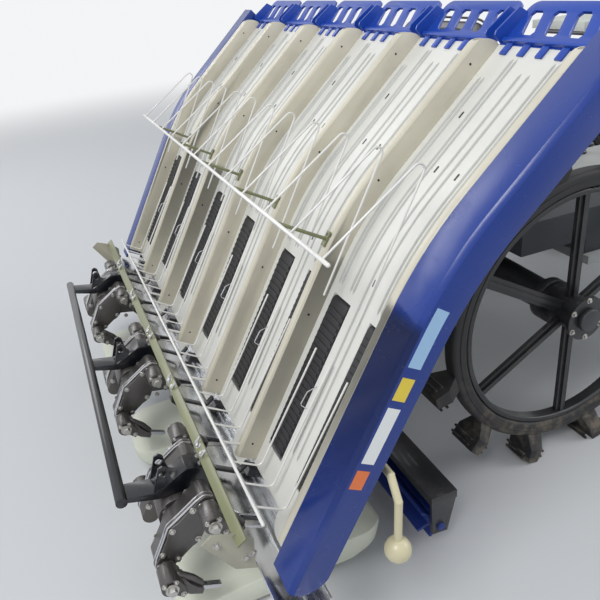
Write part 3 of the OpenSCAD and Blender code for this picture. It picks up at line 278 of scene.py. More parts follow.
def rubber(name, colour, mud):
    """Moulded rubber: nearly black, dull, with dried mud that thins out upwards."""
    f = Finish(name, colour, 0.62)
    height = f.axis("Z")
    patch = f.noise(24.0, 5.0, rough=0.6)
    low = (1.0 - height.smooth(0.02, 0.5)) * patch.smooth(0.42, 0.7) * mud
    tone = f.blend(patch, shade(colour, 0.8), shade(colour, 1.3))
    skin = patch * 0.4 + f.noise(500.0, 1.0) * 0.6
    return f.dressed(f.blend(low, tone, MUD), patch * 0.2 + 0.5 + low * 0.3, skin, 0.0004, 0.4)


print("five families of finish")

# %% [markdown]
# ## One finish for each part
# The frame's nodes keep their own meshes. Each only gets its material here, in its material slot.

# %% Give every node its finish
FAMILIES = [
    (paint, "frame_black", (0.016, 0.017, 0.020), 0.36, 0.3),
    (casting, "engine_grey", (0.17, 0.17, 0.18)),
    (casting, "case_black", (0.050, 0.052, 0.057), 0.44, 0.3),
    (moulded, "deck_grey", (0.55, 0.56, 0.54), 0.5, 0.14, 0.0004),
    (moulded, "cowl_dark", (0.045, 0.050, 0.058), 0.5),
    (moulded, "seat_cover", (0.020, 0.021, 0.024), 0.48, 0.05, 0.0005),
    (moulded, "lever_black", (0.015, 0.015, 0.017), 0.4),
    (moulded, "tray_grey", (0.62, 0.64, 0.60), 0.45),
    (bare_metal, "marker_metal", (0.62, 0.62, 0.62), 0.3, (1.0, 1.0, 0.05)),
    (paint, "bonnet_white", (0.76, 0.76, 0.72), 0.26, 0.5, 0.05),
    (paint, "lamp_clear", (0.80, 0.82, 0.84), 0.08, 1.0, 0.0),
    (paint, "wheel_steel", (0.014, 0.015, 0.017), 0.42, 0.2, 0.14),
    (rubber, "wheel_rubber", (0.018, 0.018, 0.019), 0.7),
    (bare_metal, "rod_chrome", (0.72, 0.73, 0.75), 0.16),
    (casting, "casting_grey", (0.120, 0.112, 0.108), 0.36, 0.70),
    (bare_metal, "rail_steel", (0.66, 0.67, 0.69), 0.24, (1.0, 0.03, 1.0)),
    (paint, "guard_black", (0.006, 0.007, 0.011), 0.30, 0.3, 0.05),
    (moulded, "float_cream", (0.60, 0.62, 0.52), 0.5, 0.16),
    (paint, "rod_cream", (0.60, 0.55, 0.36), 0.4, 0.2, 0.1),
    (moulded, "rotor_blue", (0.012, 0.035, 0.22), 0.42),
    (moulded, "floor_white", (0.69, 0.685, 0.64), 0.36, 0.04),
    (paint, "divider_cream", (0.60, 0.565, 0.46), 0.34, 0.25, 0.12),
    (moulded, "cover_blue", (0.005, 0.032, 0.225), 0.26, 0.03),
    (moulded, "grid_blue", (0.009, 0.055, 0.36), 0.30, 0.03),
    (rubber, "belt_black", (0.022, 0.022, 0.024), 0.0),
    (paint, "wire_white", (0.74, 0.73, 0.70), 0.3, 0.3, 0.05),
    (paint, "holder_olive", (0.19, 0.20, 0.10), 0.4, 0.2, 0.12),
    # End plates: a darkened grey-green beige, partly their own colour and partly painted shade.
    (paint, "plate_beige", (0.36, 0.345, 0.27), 0.4, 0.2, 0.12),
]
FINISHES = {slot: family(slot.replace("_", " "), *numbers) for family, slot, *numbers in FAMILIES}

slot_of = {part["node"]: part["material_slot"] for part in frame["record"]["subparts"]}
for name, node in frame["nodes"].items():
    node.data.materials.clear()
    node.data.materials.append(FINISHES[slot_of[name]])
print("finished", len(slot_of), "nodes with", len(set(slot_of.values())), "materials")

# %% [markdown]
# ## Surfaces from formulas
# Every new piece is a grid of points worked out with numpy. The seedling table is the main form of this
# machine, and most small pieces lie on it, so the first formula turns a distance up the table and a height
# over its floor into a place. The floor runs straight, bends through 18 degrees and runs straight again.

# %% The table's curve and the mesh helpers
TABLE_X, TABLE_Z = -1.190, 0.340
STEEP, BEND = radians(60.0), radians(18.0)
STRAIGHT, BEND_R = 0.503, 0.750
FLOOR_LEN = 1.072
ROW_PITCH, HALF_TABLE = 0.300, 0.900
ROWS = [-0.75, -0.45, -0.15, 0.15, 0.45, 0.75]
CASES = [-0.6, 0.0, 0.6]
BETWEEN = [-0.6, -0.3, 0.0, 0.3, 0.6]
X_AXIS, Y_AXIS, Z_AXIS = np.eye(3)
SHARP = radians(35.0)


def on_table(s, n):
    """X and Z of a point s up the floor and n over it: a straight, an arc of BEND_R, a straight."""
    s = np.asarray(s, float)
    slope = STEEP - np.clip((s - STRAIGHT) / BEND_R, 0.0, BEND)
    low = np.minimum(s, STRAIGHT)
    high = np.maximum(s - STRAIGHT - BEND_R * BEND, 0.0)
    x = TABLE_X + low * cos(STEEP) + BEND_R * (sin(STEEP) - np.sin(slope)) + high * np.cos(slope)
    z = TABLE_Z + low * sin(STEEP) + BEND_R * (np.cos(slope) - cos(STEEP)) + high * np.sin(slope)
    return x - n * np.sin(slope), z + n * np.cos(slope)


def grid_faces(rows, columns):
    """Quads of a grid of points whose last column is joined to its first."""
    i, j = np.meshgrid(np.arange(rows - 1), np.arange(columns), indexing="ij")
    k = (j + 1) % columns
    here, there = i * columns, (i + 1) * columns
    quads = np.stack([here + j, here + k, there + k, there + j], axis=-1)
    return quads.reshape(-1, 4).tolist()


def loft(rings):
    """Rings (count, points, 3) joined into a closed skin, with a flat face over the first and last ring."""
    rings = np.asarray(rings)
    count, points = rings.shape[:2]
    faces = grid_faces(count, points)
    faces.append(list(range(points))[::-1])
    faces.append([(count - 1) * points + k for k in range(points)])
    return rings.reshape(-1, 3), faces


def joined(parts):
    """Several (points, faces) pairs as one."""
    points, faces, start = [], [], 0
    for these, those in parts:
        points.append(these)
        faces.extend([[start + k for k in face] for face in those])
        start += len(these)
    return np.concatenate(points), faces


def add_piece(name, parts, body, slot, finish=None, smooth=True):
    """A new mesh object of several parts with consistent normals. It has its slot's finish or its own."""
    points, faces = joined(parts)
    mesh = bpy.data.meshes.new(name)
    mesh.from_pydata(points.tolist(), [], faces)
    mesh.update()
    piece = placed(name, mesh)
    mesh.materials.append(finish or FINISHES[slot])
    skin = bmesh.new()
    skin.from_mesh(mesh)
    bmesh.ops.recalc_face_normals(skin, faces=skin.faces)
    for edge in skin.edges:
        edge.smooth = len(edge.link_faces) == 2 and edge.calc_face_angle(0.0) < SHARP
    for face in skin.faces:
        face.smooth = smooth
    skin.to_mesh(mesh)
    skin.free()
    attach(piece, body)
    print(name, len(faces), "faces")
    return piece


def frame_along(path):
    """Directions along a path and two directions square to it that never flip."""
    ahead = np.gradient(path, axis=0)
    ahead /= np.linalg.norm(ahead, axis=1)[:, None]
    side = np.cross(ahead[0], (0.0, 0.0, 1.0))
    if np.linalg.norm(side) < 0.1:
        side = np.cross(ahead[0], (0.0, 1.0, 0.0))
    sides = []
    for step in ahead:
        side = side - step * np.dot(side, step)
        side = side / np.linalg.norm(side)
        sides.append(side)
    sides = np.array(sides)
    return ahead, sides, np.cross(ahead, sides)


def circles(sides, across, up):
    """A unit circle in the plane of two directions, or one for each pair of directions in two lists."""
    turn = np.linspace(0.0, 2.0 * pi, sides + 1)[:-1, None]
    return np.cos(turn) * across[..., None, :] + np.sin(turn) * up[..., None, :]


def pipe(path, radius, sides=12):
    """A round bar along a path: circles of the radius, square to it, the end ones shrunk to a dome."""
    path = np.asarray(path, float)
    ahead, across, up = frame_along(path)
    past = radius * np.array([0.85, 0.5, 0.0])
    shrink = radius * np.array([0.35, 0.8, 1.0])
    path = np.concatenate([path[0] - ahead[0] * past[:, None], path[1:-1],
                           path[-1] + ahead[-1] * past[::-1, None]])
    ends = np.clip(np.arange(-2, len(ahead) + 2), 0, len(ahead) - 1)
    radii = np.concatenate([shrink, np.full(len(ahead) - 2, radius), shrink[::-1]])
    return loft(path[:, None] + radii[:, None, None] * circles(sides, across[ends], up[ends]))


def rounded(corners, bend, steps=6):
    """A path of straight runs whose corners are arcs of radius bend, found from the half angle."""
    corners = [Vector(c) for c in corners]
    path = [corners[0]]
    for before, here, after in zip(corners, corners[1:], corners[2:]):
        u, v = (before - here).normalized(), (after - here).normalized()
        half = u.angle(v) / 2.0
        reach = bend / tan(half)
        middle = here + (u + v).normalized() * (bend / sin(half))
        first, last = here + u * reach - middle, here + v * reach - middle
        for k in range(steps + 1):
            path.append(middle + first.normalized().slerp(last.normalized(), k / steps) * bend)
    path.append(corners[-1])
    return np.array(path)


def turned(profile, place, axis, sides=16):
    """A turned part: radius and height pairs carried round an axis through a place."""
    profile = np.asarray(profile, float)
    axis = np.asarray(axis, float) / np.linalg.norm(axis)
    across = np.cross(axis, (0.0, 0.0, 1.0) if abs(axis[2]) < 0.9 else (0.0, 1.0, 0.0))
    across /= np.linalg.norm(across)
    up = np.cross(axis, across)
    rings = profile[:, 0, None, None] * circles(sides, across, up) + profile[:, 1, None, None] * axis
    return loft(rings + np.asarray(place, float))


def bolt(place, axis, across):
    """A hexagon head with a chamfered top on a round washer."""
    r = across / 2.0
    head = turned([(r, 0.0), (r, r * 0.95), (r * 0.86, r * 1.15), (r * 0.2, r * 1.15)], place, axis, 6)
    washer = turned([(r * 1.5, -0.001), (r * 1.5, r * 0.2), (r * 0.9, r * 0.24)], place, axis, 14)
    return joined([head, washer])


def closed_pipe(centres, outward, upward, radius, sides):
    """A round bar along a closed path, with two directions square to it at each point."""
    skin = centres[:, None] + radius * circles(sides, outward, upward)
    count = len(centres) * sides
    faces = [[k % count for k in face] for face in grid_faces(len(centres) + 1, sides)]
    return skin.reshape(-1, 3), faces


def soft_box(width, depth, corner, steps=4):
    """The outline of a rectangle with round corners, as points about its middle."""
    quarter = np.linspace(0.0, pi / 2.0, steps + 1)
    angle = np.concatenate([quarter + k * pi / 2.0 for k in range(4)])
    away = np.repeat([(1, 1), (-1, 1), (-1, -1), (1, -1)], steps + 1, axis=0)
    arcs = corner * np.stack([np.cos(angle), np.sin(angle)], axis=1)
    return away * (width / 2.0 - corner, depth / 2.0 - corner) + arcs


print("floor top end at", [round(float(v), 3) for v in on_table(FLOOR_LEN, 0.0)])

# %% [markdown]
# ## Soft edges
# No casting, moulding or folded sheet has a knife edge: each catches a thin line of light. The frame's own
# meshes stay as they are, so a copy stands in for a node. Its triangles are merged into flat faces first,
# and a Bevel of the real edge radius then rounds every edge that is sharper than 28 degrees.

# %% Copies of the frame's nodes with rounded edges
MERGE_WITHIN, FLAT, BEVEL_FROM = 0.00002, radians(0.7), radians(28.0)


def soften(name, radius, segments):
    """A copy of a node with its doubles merged, flat faces joined and its edges rounded to a radius."""
    mesh = frame["nodes"][name].data.copy()
    skin = bmesh.new()
    skin.from_mesh(mesh)
    bmesh.ops.remove_doubles(skin, verts=skin.verts, dist=MERGE_WITHIN)
    bmesh.ops.dissolve_limit(skin, angle_limit=FLAT, verts=skin.verts, edges=skin.edges)
    for edge in skin.edges:
        edge.smooth = True
    for face in skin.faces:
        face.smooth = True
    skin.to_mesh(mesh)
    skin.free()
    piece = placed(name + "_soft", mesh)
    edges = piece.modifiers.new("edges", "BEVEL")
    edges.limit_method = "ANGLE"
    edges.angle_limit = BEVEL_FROM
    edges.width = radius
    edges.segments = segments
    edges.use_clamp_overlap = True
    edges.harden_normals = True
    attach(piece, body_of[name])
    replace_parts(piece, name)
    return piece


body_of = {name: body for body, names in frame["record"]["behaviour"]["bodies"].items() for name in names}
EDGE_RADII = {
    "planting_cases": 0.0050, "planting_rotors": 0.0025, "upper_arms": 0.0022, "lower_arms": 0.0022,
    "bonnet": 0.0180, "nose_cowl": 0.0060, "dash_console": 0.0120, "seat_cowl": 0.0120, "step_deck": 0.0015,
    "floats": 0.0100, "side_covers": 0.0022, "row_dividers": 0.0008, "seedling_trays": 0.0015,
    "gearcase": 0.0060, "rear_axle": 0.0060, "engine_block": 0.0080, "rear_guard": 0.0010,
    "planter_frame": 0.0020, "leveling_frame": 0.0020, "chassis_frame": 0.0030, "extension_grids": 0.0012,
    "rear_tyre_left": 0.0030, "rear_tyre_right": 0.0030,
    "front_tyre_left": 0.0025, "front_tyre_right": 0.0025,
    "stop_bar": 0.0008, "stop_arms": 0.0015, "end_plates": 0.0006, "take_out_guides": 0.0012,
    "seedling_rail": 0.0006, "float_hangers": 0.0015, "leveling_rotor": 0.0010,
}
for name, radius in EDGE_RADII.items():
    soft = soften(name, radius, 3 if radius > 0.01 else 2)
    depth = bpy.context.evaluated_depsgraph_get()
    print(name, len(frame["nodes"][name].data.polygons), "->", len(soft.evaluated_get(depth).data.polygons))

# %% [markdown]
# ## Beads, slots and marks on the table's floor
# The white floor is moulded. Long thin beads run up each row in pairs, so that the root mats slide on
# little plastic. Each bead is a half-round profile swept up the table, with its ends sunk in the floor.

# %% Floor beads
BEAD = np.array([(-0.0034, -0.0006), (-0.0026, 0.0016), (-0.0010, 0.0030),
                 (0.0010, 0.0030), (0.0026, 0.0016), (0.0034, -0.0006)])
bead_parts = []
for row in ROWS:
    for offset in (-0.116, -0.104, -0.064, -0.052, -0.012, 0.012, 0.052, 0.064, 0.104, 0.116):
        top = 1.045 - 0.05 * (abs(offset) > 0.09) - 0.03 * (abs(offset) < 0.02)
        bottom = 0.47 if abs(offset) > 0.03 else 0.10
        stops = np.concatenate([[bottom], np.linspace(bottom + 0.012, top - 0.012, 15), [top]])
        x, z = on_table(stops[:, None], BEAD[:, 1])
        rings = np.stack([x, np.broadcast_to(row + offset + BEAD[:, 0], x.shape), z], axis=-1)
        for end in (0, -1):
            x, z = on_table(stops[end], -0.0006)
            rings[end] = rings[end] * 0.02 + np.array([x, row + offset, z]) * 0.98
        bead_parts.append(loft(rings))
# The beads are a grey much darker than the floor's white: painted shade, so that they read as thin shadow
# lines.
BEAD_PAINTED_SHADE = moulded("floor bead", (0.47, 0.47, 0.445), 0.42, 0.10)
add_piece("floor_beads", bead_parts, "table", "floor_white", BEAD_PAINTED_SHADE)

slot_parts = []
# Each slot is a thin black plate on the floor: painted shade in place of the open slot.
for row in ROWS:
    for across, s in ((-0.034, 0.775), (0.034, 0.775), (0.0, 0.52), (0.085, 0.90)):
        outline = soft_box(0.0045, 0.016, 0.0021) + (row + across, s)
        x, z = on_table(np.repeat(outline[:, 1:], 2, axis=1), np.array([[0.0002, 0.0009]]))
        y = np.repeat(outline[:, :1], 2, axis=1)
        slot_parts.append(loft(np.stack([x, y, z], axis=-1).transpose(1, 0, 2)))
add_piece("floor_slots", slot_parts, "table", "lever_black")

# %% [markdown]
# ## Feed belts
# Two ribbed belts in each row carry the mat down to the claws. The frame's belts are plain, so a row of
# low ribs with a trapezoid's section lies on each of them.

# %% Belt ribs
BELT_LOW, BELT_LENGTH, RIB_PITCH, HALF_RIB = 0.078, 0.355, 0.0155, 0.032
RIB = np.array([(-0.0042, 0.0010), (-0.0026, 0.0042), (0.0026, 0.0042), (0.0042, 0.0010)])
rib_parts = []
for row in ROWS:
    for side in (-0.08, 0.08):
        for s in np.arange(BELT_LOW, BELT_LOW + BELT_LENGTH, RIB_PITCH):
            x, z = on_table(s + RIB[:, 0], RIB[:, 1])
            ends = [np.stack([x, np.full(4, row + side + w), z], axis=1) for w in (-HALF_RIB, HALF_RIB)]
            rib_parts.append(loft(ends))
add_piece("belt_ribs", rib_parts, "table", "belt_black", smooth=False)

# %% [markdown]
# ## Wire mat holders
# The wires of the two holders are bent from round rod. The frame's own wires are plain straight runs, so
# smooth ones stand in for them: a circle carried along straight runs and true arcs.

# %% Wires
def leaning(x, z, angle, along, over, y):
    """A place in a frame that starts at x and z and leans by an angle: along its line and over it."""
    return (x + along * cos(angle) - over * sin(angle), y,
            z + along * sin(angle) + over * cos(angle))


def on_slope(s, n, y):
    """A place in the table's lower straight frame, also above the bend."""
    return leaning(TABLE_X, TABLE_Z, STEEP, s, n, y)


def cross_rod(s, n, half, radius):
    """A rod across the table."""
    return pipe(np.linspace(on_slope(s, n, -half), on_slope(s, n, half), 12), radius)


def bent(spots, y, bend, steps):
    """A path in one upright plane that turns its corners at (along, over) places of the table."""
    return rounded([on_slope(s, n, y) for s, n in spots], bend, steps)


UPPER_WIRE = [(0.549, 0.179), (0.804, 0.058), (0.450, 0.050)]
LOWER_WIRE = [(0.028, 0.097), (0.025, 0.022), (0.330, 0.014)]
upper_parts = [cross_rod(*UPPER_WIRE[0], 0.852, 0.0045)]
lower_parts = [cross_rod(*LOWER_WIRE[0], 0.879, 0.0040)]
for row in ROWS:
    for k in (-1, 1):
        upper_parts.append(pipe(bent(UPPER_WIRE, row + k * 0.075, 0.012, 10), 0.0024, 10))
    for k in (-1, 0, 1):
        lower_parts.append(pipe(bent(LOWER_WIRE, row + k * 0.075, 0.012, 6), 0.0024, 10))
for y in BETWEEN:
    stand = np.linspace(on_slope(0.028, 0.0523, y), on_slope(*LOWER_WIRE[0], y), 4)
    lower_parts.append(pipe(stand, 0.0034))
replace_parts(add_piece("upper_wires", upper_parts, "table", "wire_white"), "mat_holder")
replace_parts(add_piece("lower_wires", lower_parts, "table", "wire_white"), "lower_holder")

# %% [markdown]
# ## Labels on the blue side cover
# The real cover carries a few coloured labels. Their words and marks are left off, so each is a bare
# strip in its own colour, 0.6 mm thick, on the outer side of the flange.

# %% Blank label strips
def foil(name, colour):
    f = Finish(name, colour, 0.32, 0.0, 0.4)
    return f.dressed(colour, f.noise(60.0, 3.0) * 0.2 + 0.22, f.noise(30.0, 2.0), 0.0003, 0.2)


LABELS = [("label_pale", (0.30, 0.48, 0.70), 0.450, 0.560),
          ("label_yellow", (0.72, 0.55, 0.04), 0.385, 0.430),
          ("label_white", (0.72, 0.74, 0.74), 0.255, 0.370),
          ("label_orange", (0.70, 0.16, 0.03), 0.200, 0.240)]
COVER_SIDE = 0.9838
for side in (-1, 1):
    for name, colour, low, high in LABELS:
        s = np.linspace(low, high, 9)
        corners = []
        for over, lift in ((0.036, 0.0), (0.036, 0.0006), (0.008, 0.0006), (0.008, 0.0)):
            x, z = on_table(s, over)
            corners.append(np.stack([x, np.full(9, side * (COVER_SIDE + lift)), z], axis=1))
        label = name + ("_left" if side > 0 else "_right")
        strip = loft(np.stack(corners, axis=1))
        add_piece(label, [strip], "table", "cover_blue", foil(label, colour), smooth=False)

# %% [markdown]
# ## Castings of the planting rotors
# A rotor case is cast in two halves, and the bright machined edge of the split runs round it as a double
# ridge. Bolts hold the halves, a nut closes each arm's pin, and the claws are hardened steel. These pieces
# lie on the frame's castings and turn with them, so each rides on the body that carries it.

# %% Split ridges, nuts, bolts and claws
BRIGHT = bare_metal("bright steel", (0.62, 0.62, 0.64), 0.26)
ZINC = bare_metal("zinc bolt", (0.56, 0.55, 0.52), 0.34)
ROTOR_X, ROTOR_Z = TABLE_X - 0.205, TABLE_Z - 0.050
TILT = radians(48.0)
ARM_CIRCLE = 0.085
ROTOR_FLANGE = 0.099


def on_rotor(u, v, y):
    """A place on a rotor case: u along the line of its two arms, v square to it."""
    return leaning(ROTOR_X, ROTOR_Z, TILT, u, v, y)


def on_arm(k, x, z, y):
    """A place beside an arm's pin, k = 1 for the upper arm and -1 for the lower one."""
    pin = on_rotor(k * ARM_CIRCLE, 0.0, y)
    return (pin[0] + x, y, pin[2] + z)


HALF_EDGE = [(0.035, 0.0345), (0.080, 0.0235), (0.101, 0.014), (0.106, -0.004)]
EDGE = [(-u, v) for u, v in reversed(HALF_EDGE)] + [(0.0, 0.0440)] + HALF_EDGE
ROTOR_BOLTS = [(u, k * v) for k in (1, -1) for u, v in ((-0.062, 0.020), (0.062, 0.020), (0.0, 0.034))]
ridges, rotor_bolts = [], []
for case in CASES:
    for side in (-1, 1):
        for across in (-0.0052, 0.0052):
            y = case + side * ROTOR_FLANGE + across
            path = rounded([on_rotor(u, v, y) for u, v in EDGE], 0.008, 3)
            ridges.append(pipe(path, 0.0024, 8))
        for u, v in ROTOR_BOLTS:
            rotor_bolts.append(bolt(on_rotor(u, v, case + side * 0.111), (0, side, 0), 0.010))
            rotor_bolts.append(bolt(on_rotor(u, v, case + side * 0.049), (0, -side, 0), 0.010))
add_piece("rotor_ridges", ridges, "rotors", "rail_steel", BRIGHT)
add_piece("rotor_bolts", rotor_bolts, "rotors", "rail_steel", ZINC)

PUSHER = [(0.020, 0.004), (0.047, -0.022), (0.062, -0.046)]
PIN_CAP = [(0.0165, 0.0), (0.0160, 0.0050), (0.0125, 0.0062), (0.001, 0.0062)]
HALF_CLAW = 0.0066
CLAW = [(0.0560, -0.0600), (0.0640, -0.0508), (0.1056, -0.0686), (0.1056, -0.0756), (0.0955, -0.0756)]
for k, level in ((1, "upper"), (-1, "lower")):
    body = "arms_" + level
    bolts, claws, bosses = [], [], []
    for row in ROWS:
        for x, z in ((-0.013, 0.011), (0.011, 0.012), (0.021, -0.027), (0.004, -0.017)):
            for side in (-1, 1):
                bolts.append(bolt(on_arm(k, x, z, row + side * 0.028), (0, side, 0), 0.0085))
        nearest = min(CASES, key=lambda case: abs(case - row))
        side = 1 if row > nearest else -1
        bolts.append(bolt(on_arm(k, 0.0, 0.0, row + side * 0.0325), (0, side, 0), 0.020))
        bosses.append(turned(PIN_CAP, on_arm(k, 0.0, 0.0, row - side * 0.0275), (0, -side, 0), 24))
        pusher = [on_arm(k, x, z, row) for x, z in PUSHER]
        bosses.append(pipe(rounded(pusher, 0.02, 4), 0.0085))
        outline = np.array([on_arm(k, x, z, 0.0) for x, z in CLAW])
        claws.append(loft([outline + (0, row - HALF_CLAW, 0), outline + (0, row + HALF_CLAW, 0)]))
    add_piece(level + "_arm_bolts", bolts, body, "rail_steel", ZINC)
    add_piece(level + "_arm_bosses", bosses, body, "casting_grey")
    add_piece(level + "_claws", claws, body, "rail_steel", BRIGHT, smooth=False)

# %% [markdown]
# ## Fasteners of the planting unit
# The planting cases, the rail and the brackets are bolted. The bolts and the silver clamps under the
# olive bar are small, but they catch the light and give the size of everything round them.

# %% Bolts and clamps that ride on the planting unit
CASE_BOLTS = [(0.030, 0.012), (0.085, -0.032), (0.150, -0.062),
              (0.215, -0.072), (0.060, -0.068), (0.130, -0.088)]
SADDLE = [(-0.018, 0.140), (0.001, 0.1465), (0.016, 0.1425)]
case_bolts, clamps = [], []
for case in CASES:
    for side in (-1, 1):
        for x, z in CASE_BOLTS:
            case_bolts.append(bolt((ROTOR_X + x, case + side * 0.042, ROTOR_Z + z), (0, side, 0), 0.010))
        for x, z in ((-0.222, 0.0295), (-0.128, 0.0455)):
            slope = (0.48, 0, 0.88) if x < -0.2 else (0.19, 0, 0.98)
            case_bolts.append(bolt((TABLE_X + x, case + side * 0.013, TABLE_Z + z), slope, 0.011))
for y in BETWEEN:
    for shift in (-0.016, 0.016):
        clamps.append(bolt(on_slope(0.001, 0.1415, y + shift), (-0.574, 0, 0.819), 0.010))
    for shift in (-0.026, 0.026):
        clamps.append(pipe(bent(SADDLE, y + shift, 0.01, 3), 0.0028, 8))
for y in np.linspace(-0.96, 0.96, 17):
    case_bolts.append(bolt(on_slope(-0.0702, -0.013, y), (-0.5, 0, -0.866), 0.010))
for side in (-1, 1):
    for x, z in ((-0.114, 0.003), (-0.098, 0.006), (-0.165, 0.060)):
        case_bolts.append(bolt((TABLE_X + x, side * 0.8735, TABLE_Z + z), (0, side, 0), 0.011))
add_piece("unit_bolts", case_bolts, "planter", "rail_steel", ZINC)
add_piece("bar_clamps", clamps, "planter", "rail_steel", BRIGHT)

# %% [markdown]
# ## Holes and pins along the dividers
# The sheet-metal dividers have a line of small punched holes, and clips hold the olive stays on top of
# them. A punched hole is drawn as a dark disc with a pressed rim; the dark disc is painted shade for the
# open hole.

# %% Divider holes and clips
PUNCHED = [(0.0028, 0.0), (0.0026, 0.0005), (0.0008, 0.0003)]
holes, clips = [], []
for k in range(7):
    y = -HALF_TABLE + k * ROW_PITCH
    for side in (-1, 1):
        wall = y + side * 0.0121 + (0.012 if k == 0 else -0.012 if k == 6 else 0.0)
        for along in (0.040, 0.380, 0.700, 1.000):
            x, z = on_table(along, 0.026)
            # A black disc of painted shade where the hole is open.
            holes.append(turned(PUNCHED, (x, wall, z), (0, side, 0), 12))
    if 0 < k < 6:
        x, z = on_table(0.547, 0.060)
        clips.append(bolt((x + 0.012, y, z + 0.004), (-0.83, 0, 0.56), 0.010))
add_piece("divider_holes", holes, "table", "lever_black")
add_piece("stay_clips", clips, "table", "guard_black")

# %% [markdown]
# ## The padded seat
# The driver's seat has a foam cushion and a foam back under one skin of artificial leather. Each pad starts
# as a boxy closed form, is remeshed into even small faces and is blown up a little by the cloth solver. A
# cap on the movement keeps it off its neighbours. The pan and the two legs under it are plain pressed steel.

# %% Pads, piping, pan and legs
SEAT_MIDDLE = (-0.060, 0.0, 0.893)
BACK_MIDDLE = (-0.288, 0.0, 1.052)
CUSHION_TILT, BACK_TILT = radians(-5.0), radians(-73.5)
SQUARENESS, CROWN = 0.30, 0.006
SEAM_DEPTH, SEAM_WIDTH = 0.0045, 0.0045
VOXEL, LARGEST_MOVE = 0.005, 0.006


def tilted(points, middle, angle):
    """Points about the origin turned by an angle round the Y axis, then moved to a middle."""
    x, y, z = np.moveaxis(points, -1, 0)
    return np.stack(leaning(middle[0], middle[2], -angle, x, z, middle[1] + y), axis=-1)


def powered(values, power):
    """The sizes of the values raised to a power, with their own signs."""
    return np.sign(values) * np.abs(values) ** power


def pillow(half, middle, angle):
    """A superellipsoid: the cosine and sine of two angles raised to a small power, with a crowned top."""
    u = np.linspace(-pi / 2.0, pi / 2.0, 41)[1:-1]
    v = np.linspace(0.0, 2.0 * pi, 97)[:-1]
    ring = powered(np.cos(u), 0.28)[:, None]
    x = half[0] * ring * powered(np.cos(v), SQUARENESS)[None, :]
    y = half[1] * ring * powered(np.sin(v), SQUARENESS)[None, :]
    z = half[2] * powered(np.sin(u), 0.75)[:, None] * np.ones_like(x)
    z = z + CROWN * (1.0 - (x / half[0]) ** 2) * (1.0 - (y / half[1]) ** 2)
    return loft(tilted(np.stack([x, y, z], axis=-1), middle, angle))


def remesh(piece):
    """Even small faces in place of the long ones."""
    step = piece.modifiers.new("even", "REMESH")
    step.mode = "VOXEL"
    step.voxel_size = VOXEL
    depth = bpy.context.evaluated_depsgraph_get()
    even = bpy.data.meshes.new_from_object(piece.evaluated_get(depth))
    piece.modifiers.clear()
    piece.data = even


def points_of(mesh):
    """The places of a mesh's vertices, one row for each."""
    points = np.empty(len(mesh.vertices) * 3)
    mesh.vertices.foreach_get("co", points)
    return points.reshape(-1, 3)


def inflate(piece):
    """Cloth under pressure for 20 frames. The movement of each point is capped, then kept in the mesh."""
    mesh = piece.data
    before = points_of(mesh)
    cloth = piece.modifiers.new("cloth", "CLOTH")
    cloth.settings.quality = 4
    cloth.settings.use_pressure = True
    cloth.settings.uniform_pressure_force = 4.0
    cloth.settings.effector_weights.gravity = 0.0
    for step in range(1, 21):
        bpy.context.scene.frame_set(step)
    depth = bpy.context.evaluated_depsgraph_get()
    move = points_of(piece.evaluated_get(depth).to_mesh()) - before
    piece.evaluated_get(depth).to_mesh_clear()
    piece.modifiers.clear()
    length = np.maximum(np.linalg.norm(move, axis=1), 1e-9)
    move *= np.minimum(1.0, LARGEST_MOVE / length)[:, None]
    mesh.vertices.foreach_set("co", (before + move).ravel())
    mesh.update()
    bpy.context.scene.frame_set(1)
    print(piece.name, "moved by up to", round(float(np.linalg.norm(move, axis=1).max()) * 1000, 1), "mm")


def sewn(piece, middle, angle, lines, half_y):
    """Presses sewn channels into a pad's face: narrow valleys across it at the given distances along it."""
    mesh = piece.data
    co = points_of(mesh)
    dx, dy, dz = (co - middle).T
    along, across, lift = leaning(0.0, 0.0, angle, dx, dz, dy)
    press = np.zeros(len(co))
    for line in lines:
        press += SEAM_DEPTH * np.exp(-((along - line) / SEAM_WIDTH) ** 2)
    press *= np.clip((half_y - np.abs(across)) / 0.03, 0.0, 1.0) * (lift > 0.0)
    co[:, 0] -= press * sin(angle)
    co[:, 2] -= press * cos(angle)
    mesh.vertices.foreach_set("co", co.ravel())
    mesh.update()


f = Finish("seat leather", (0.020, 0.021, 0.024), 0.5)
cells = {"Vector": f.place, "Scale": 420.0}
grain = f.node("ShaderNodeTexVoronoi", cells, feature="DISTANCE_TO_EDGE")
crease = Value(f.tree, grain.outputs["Distance"]).smooth(0.0, 0.12)
rub = f.noise(9.0, 4.0)
tone = f.blend(rub, (0.015, 0.016, 0.018), (0.030, 0.031, 0.034))
skin = crease * 0.7 + f.noise(30.0, 3.0) * 0.5
LEATHER = f.dressed(tone, crease * 0.12 + rub * 0.16 + 0.34, skin, 0.0006, 0.5)

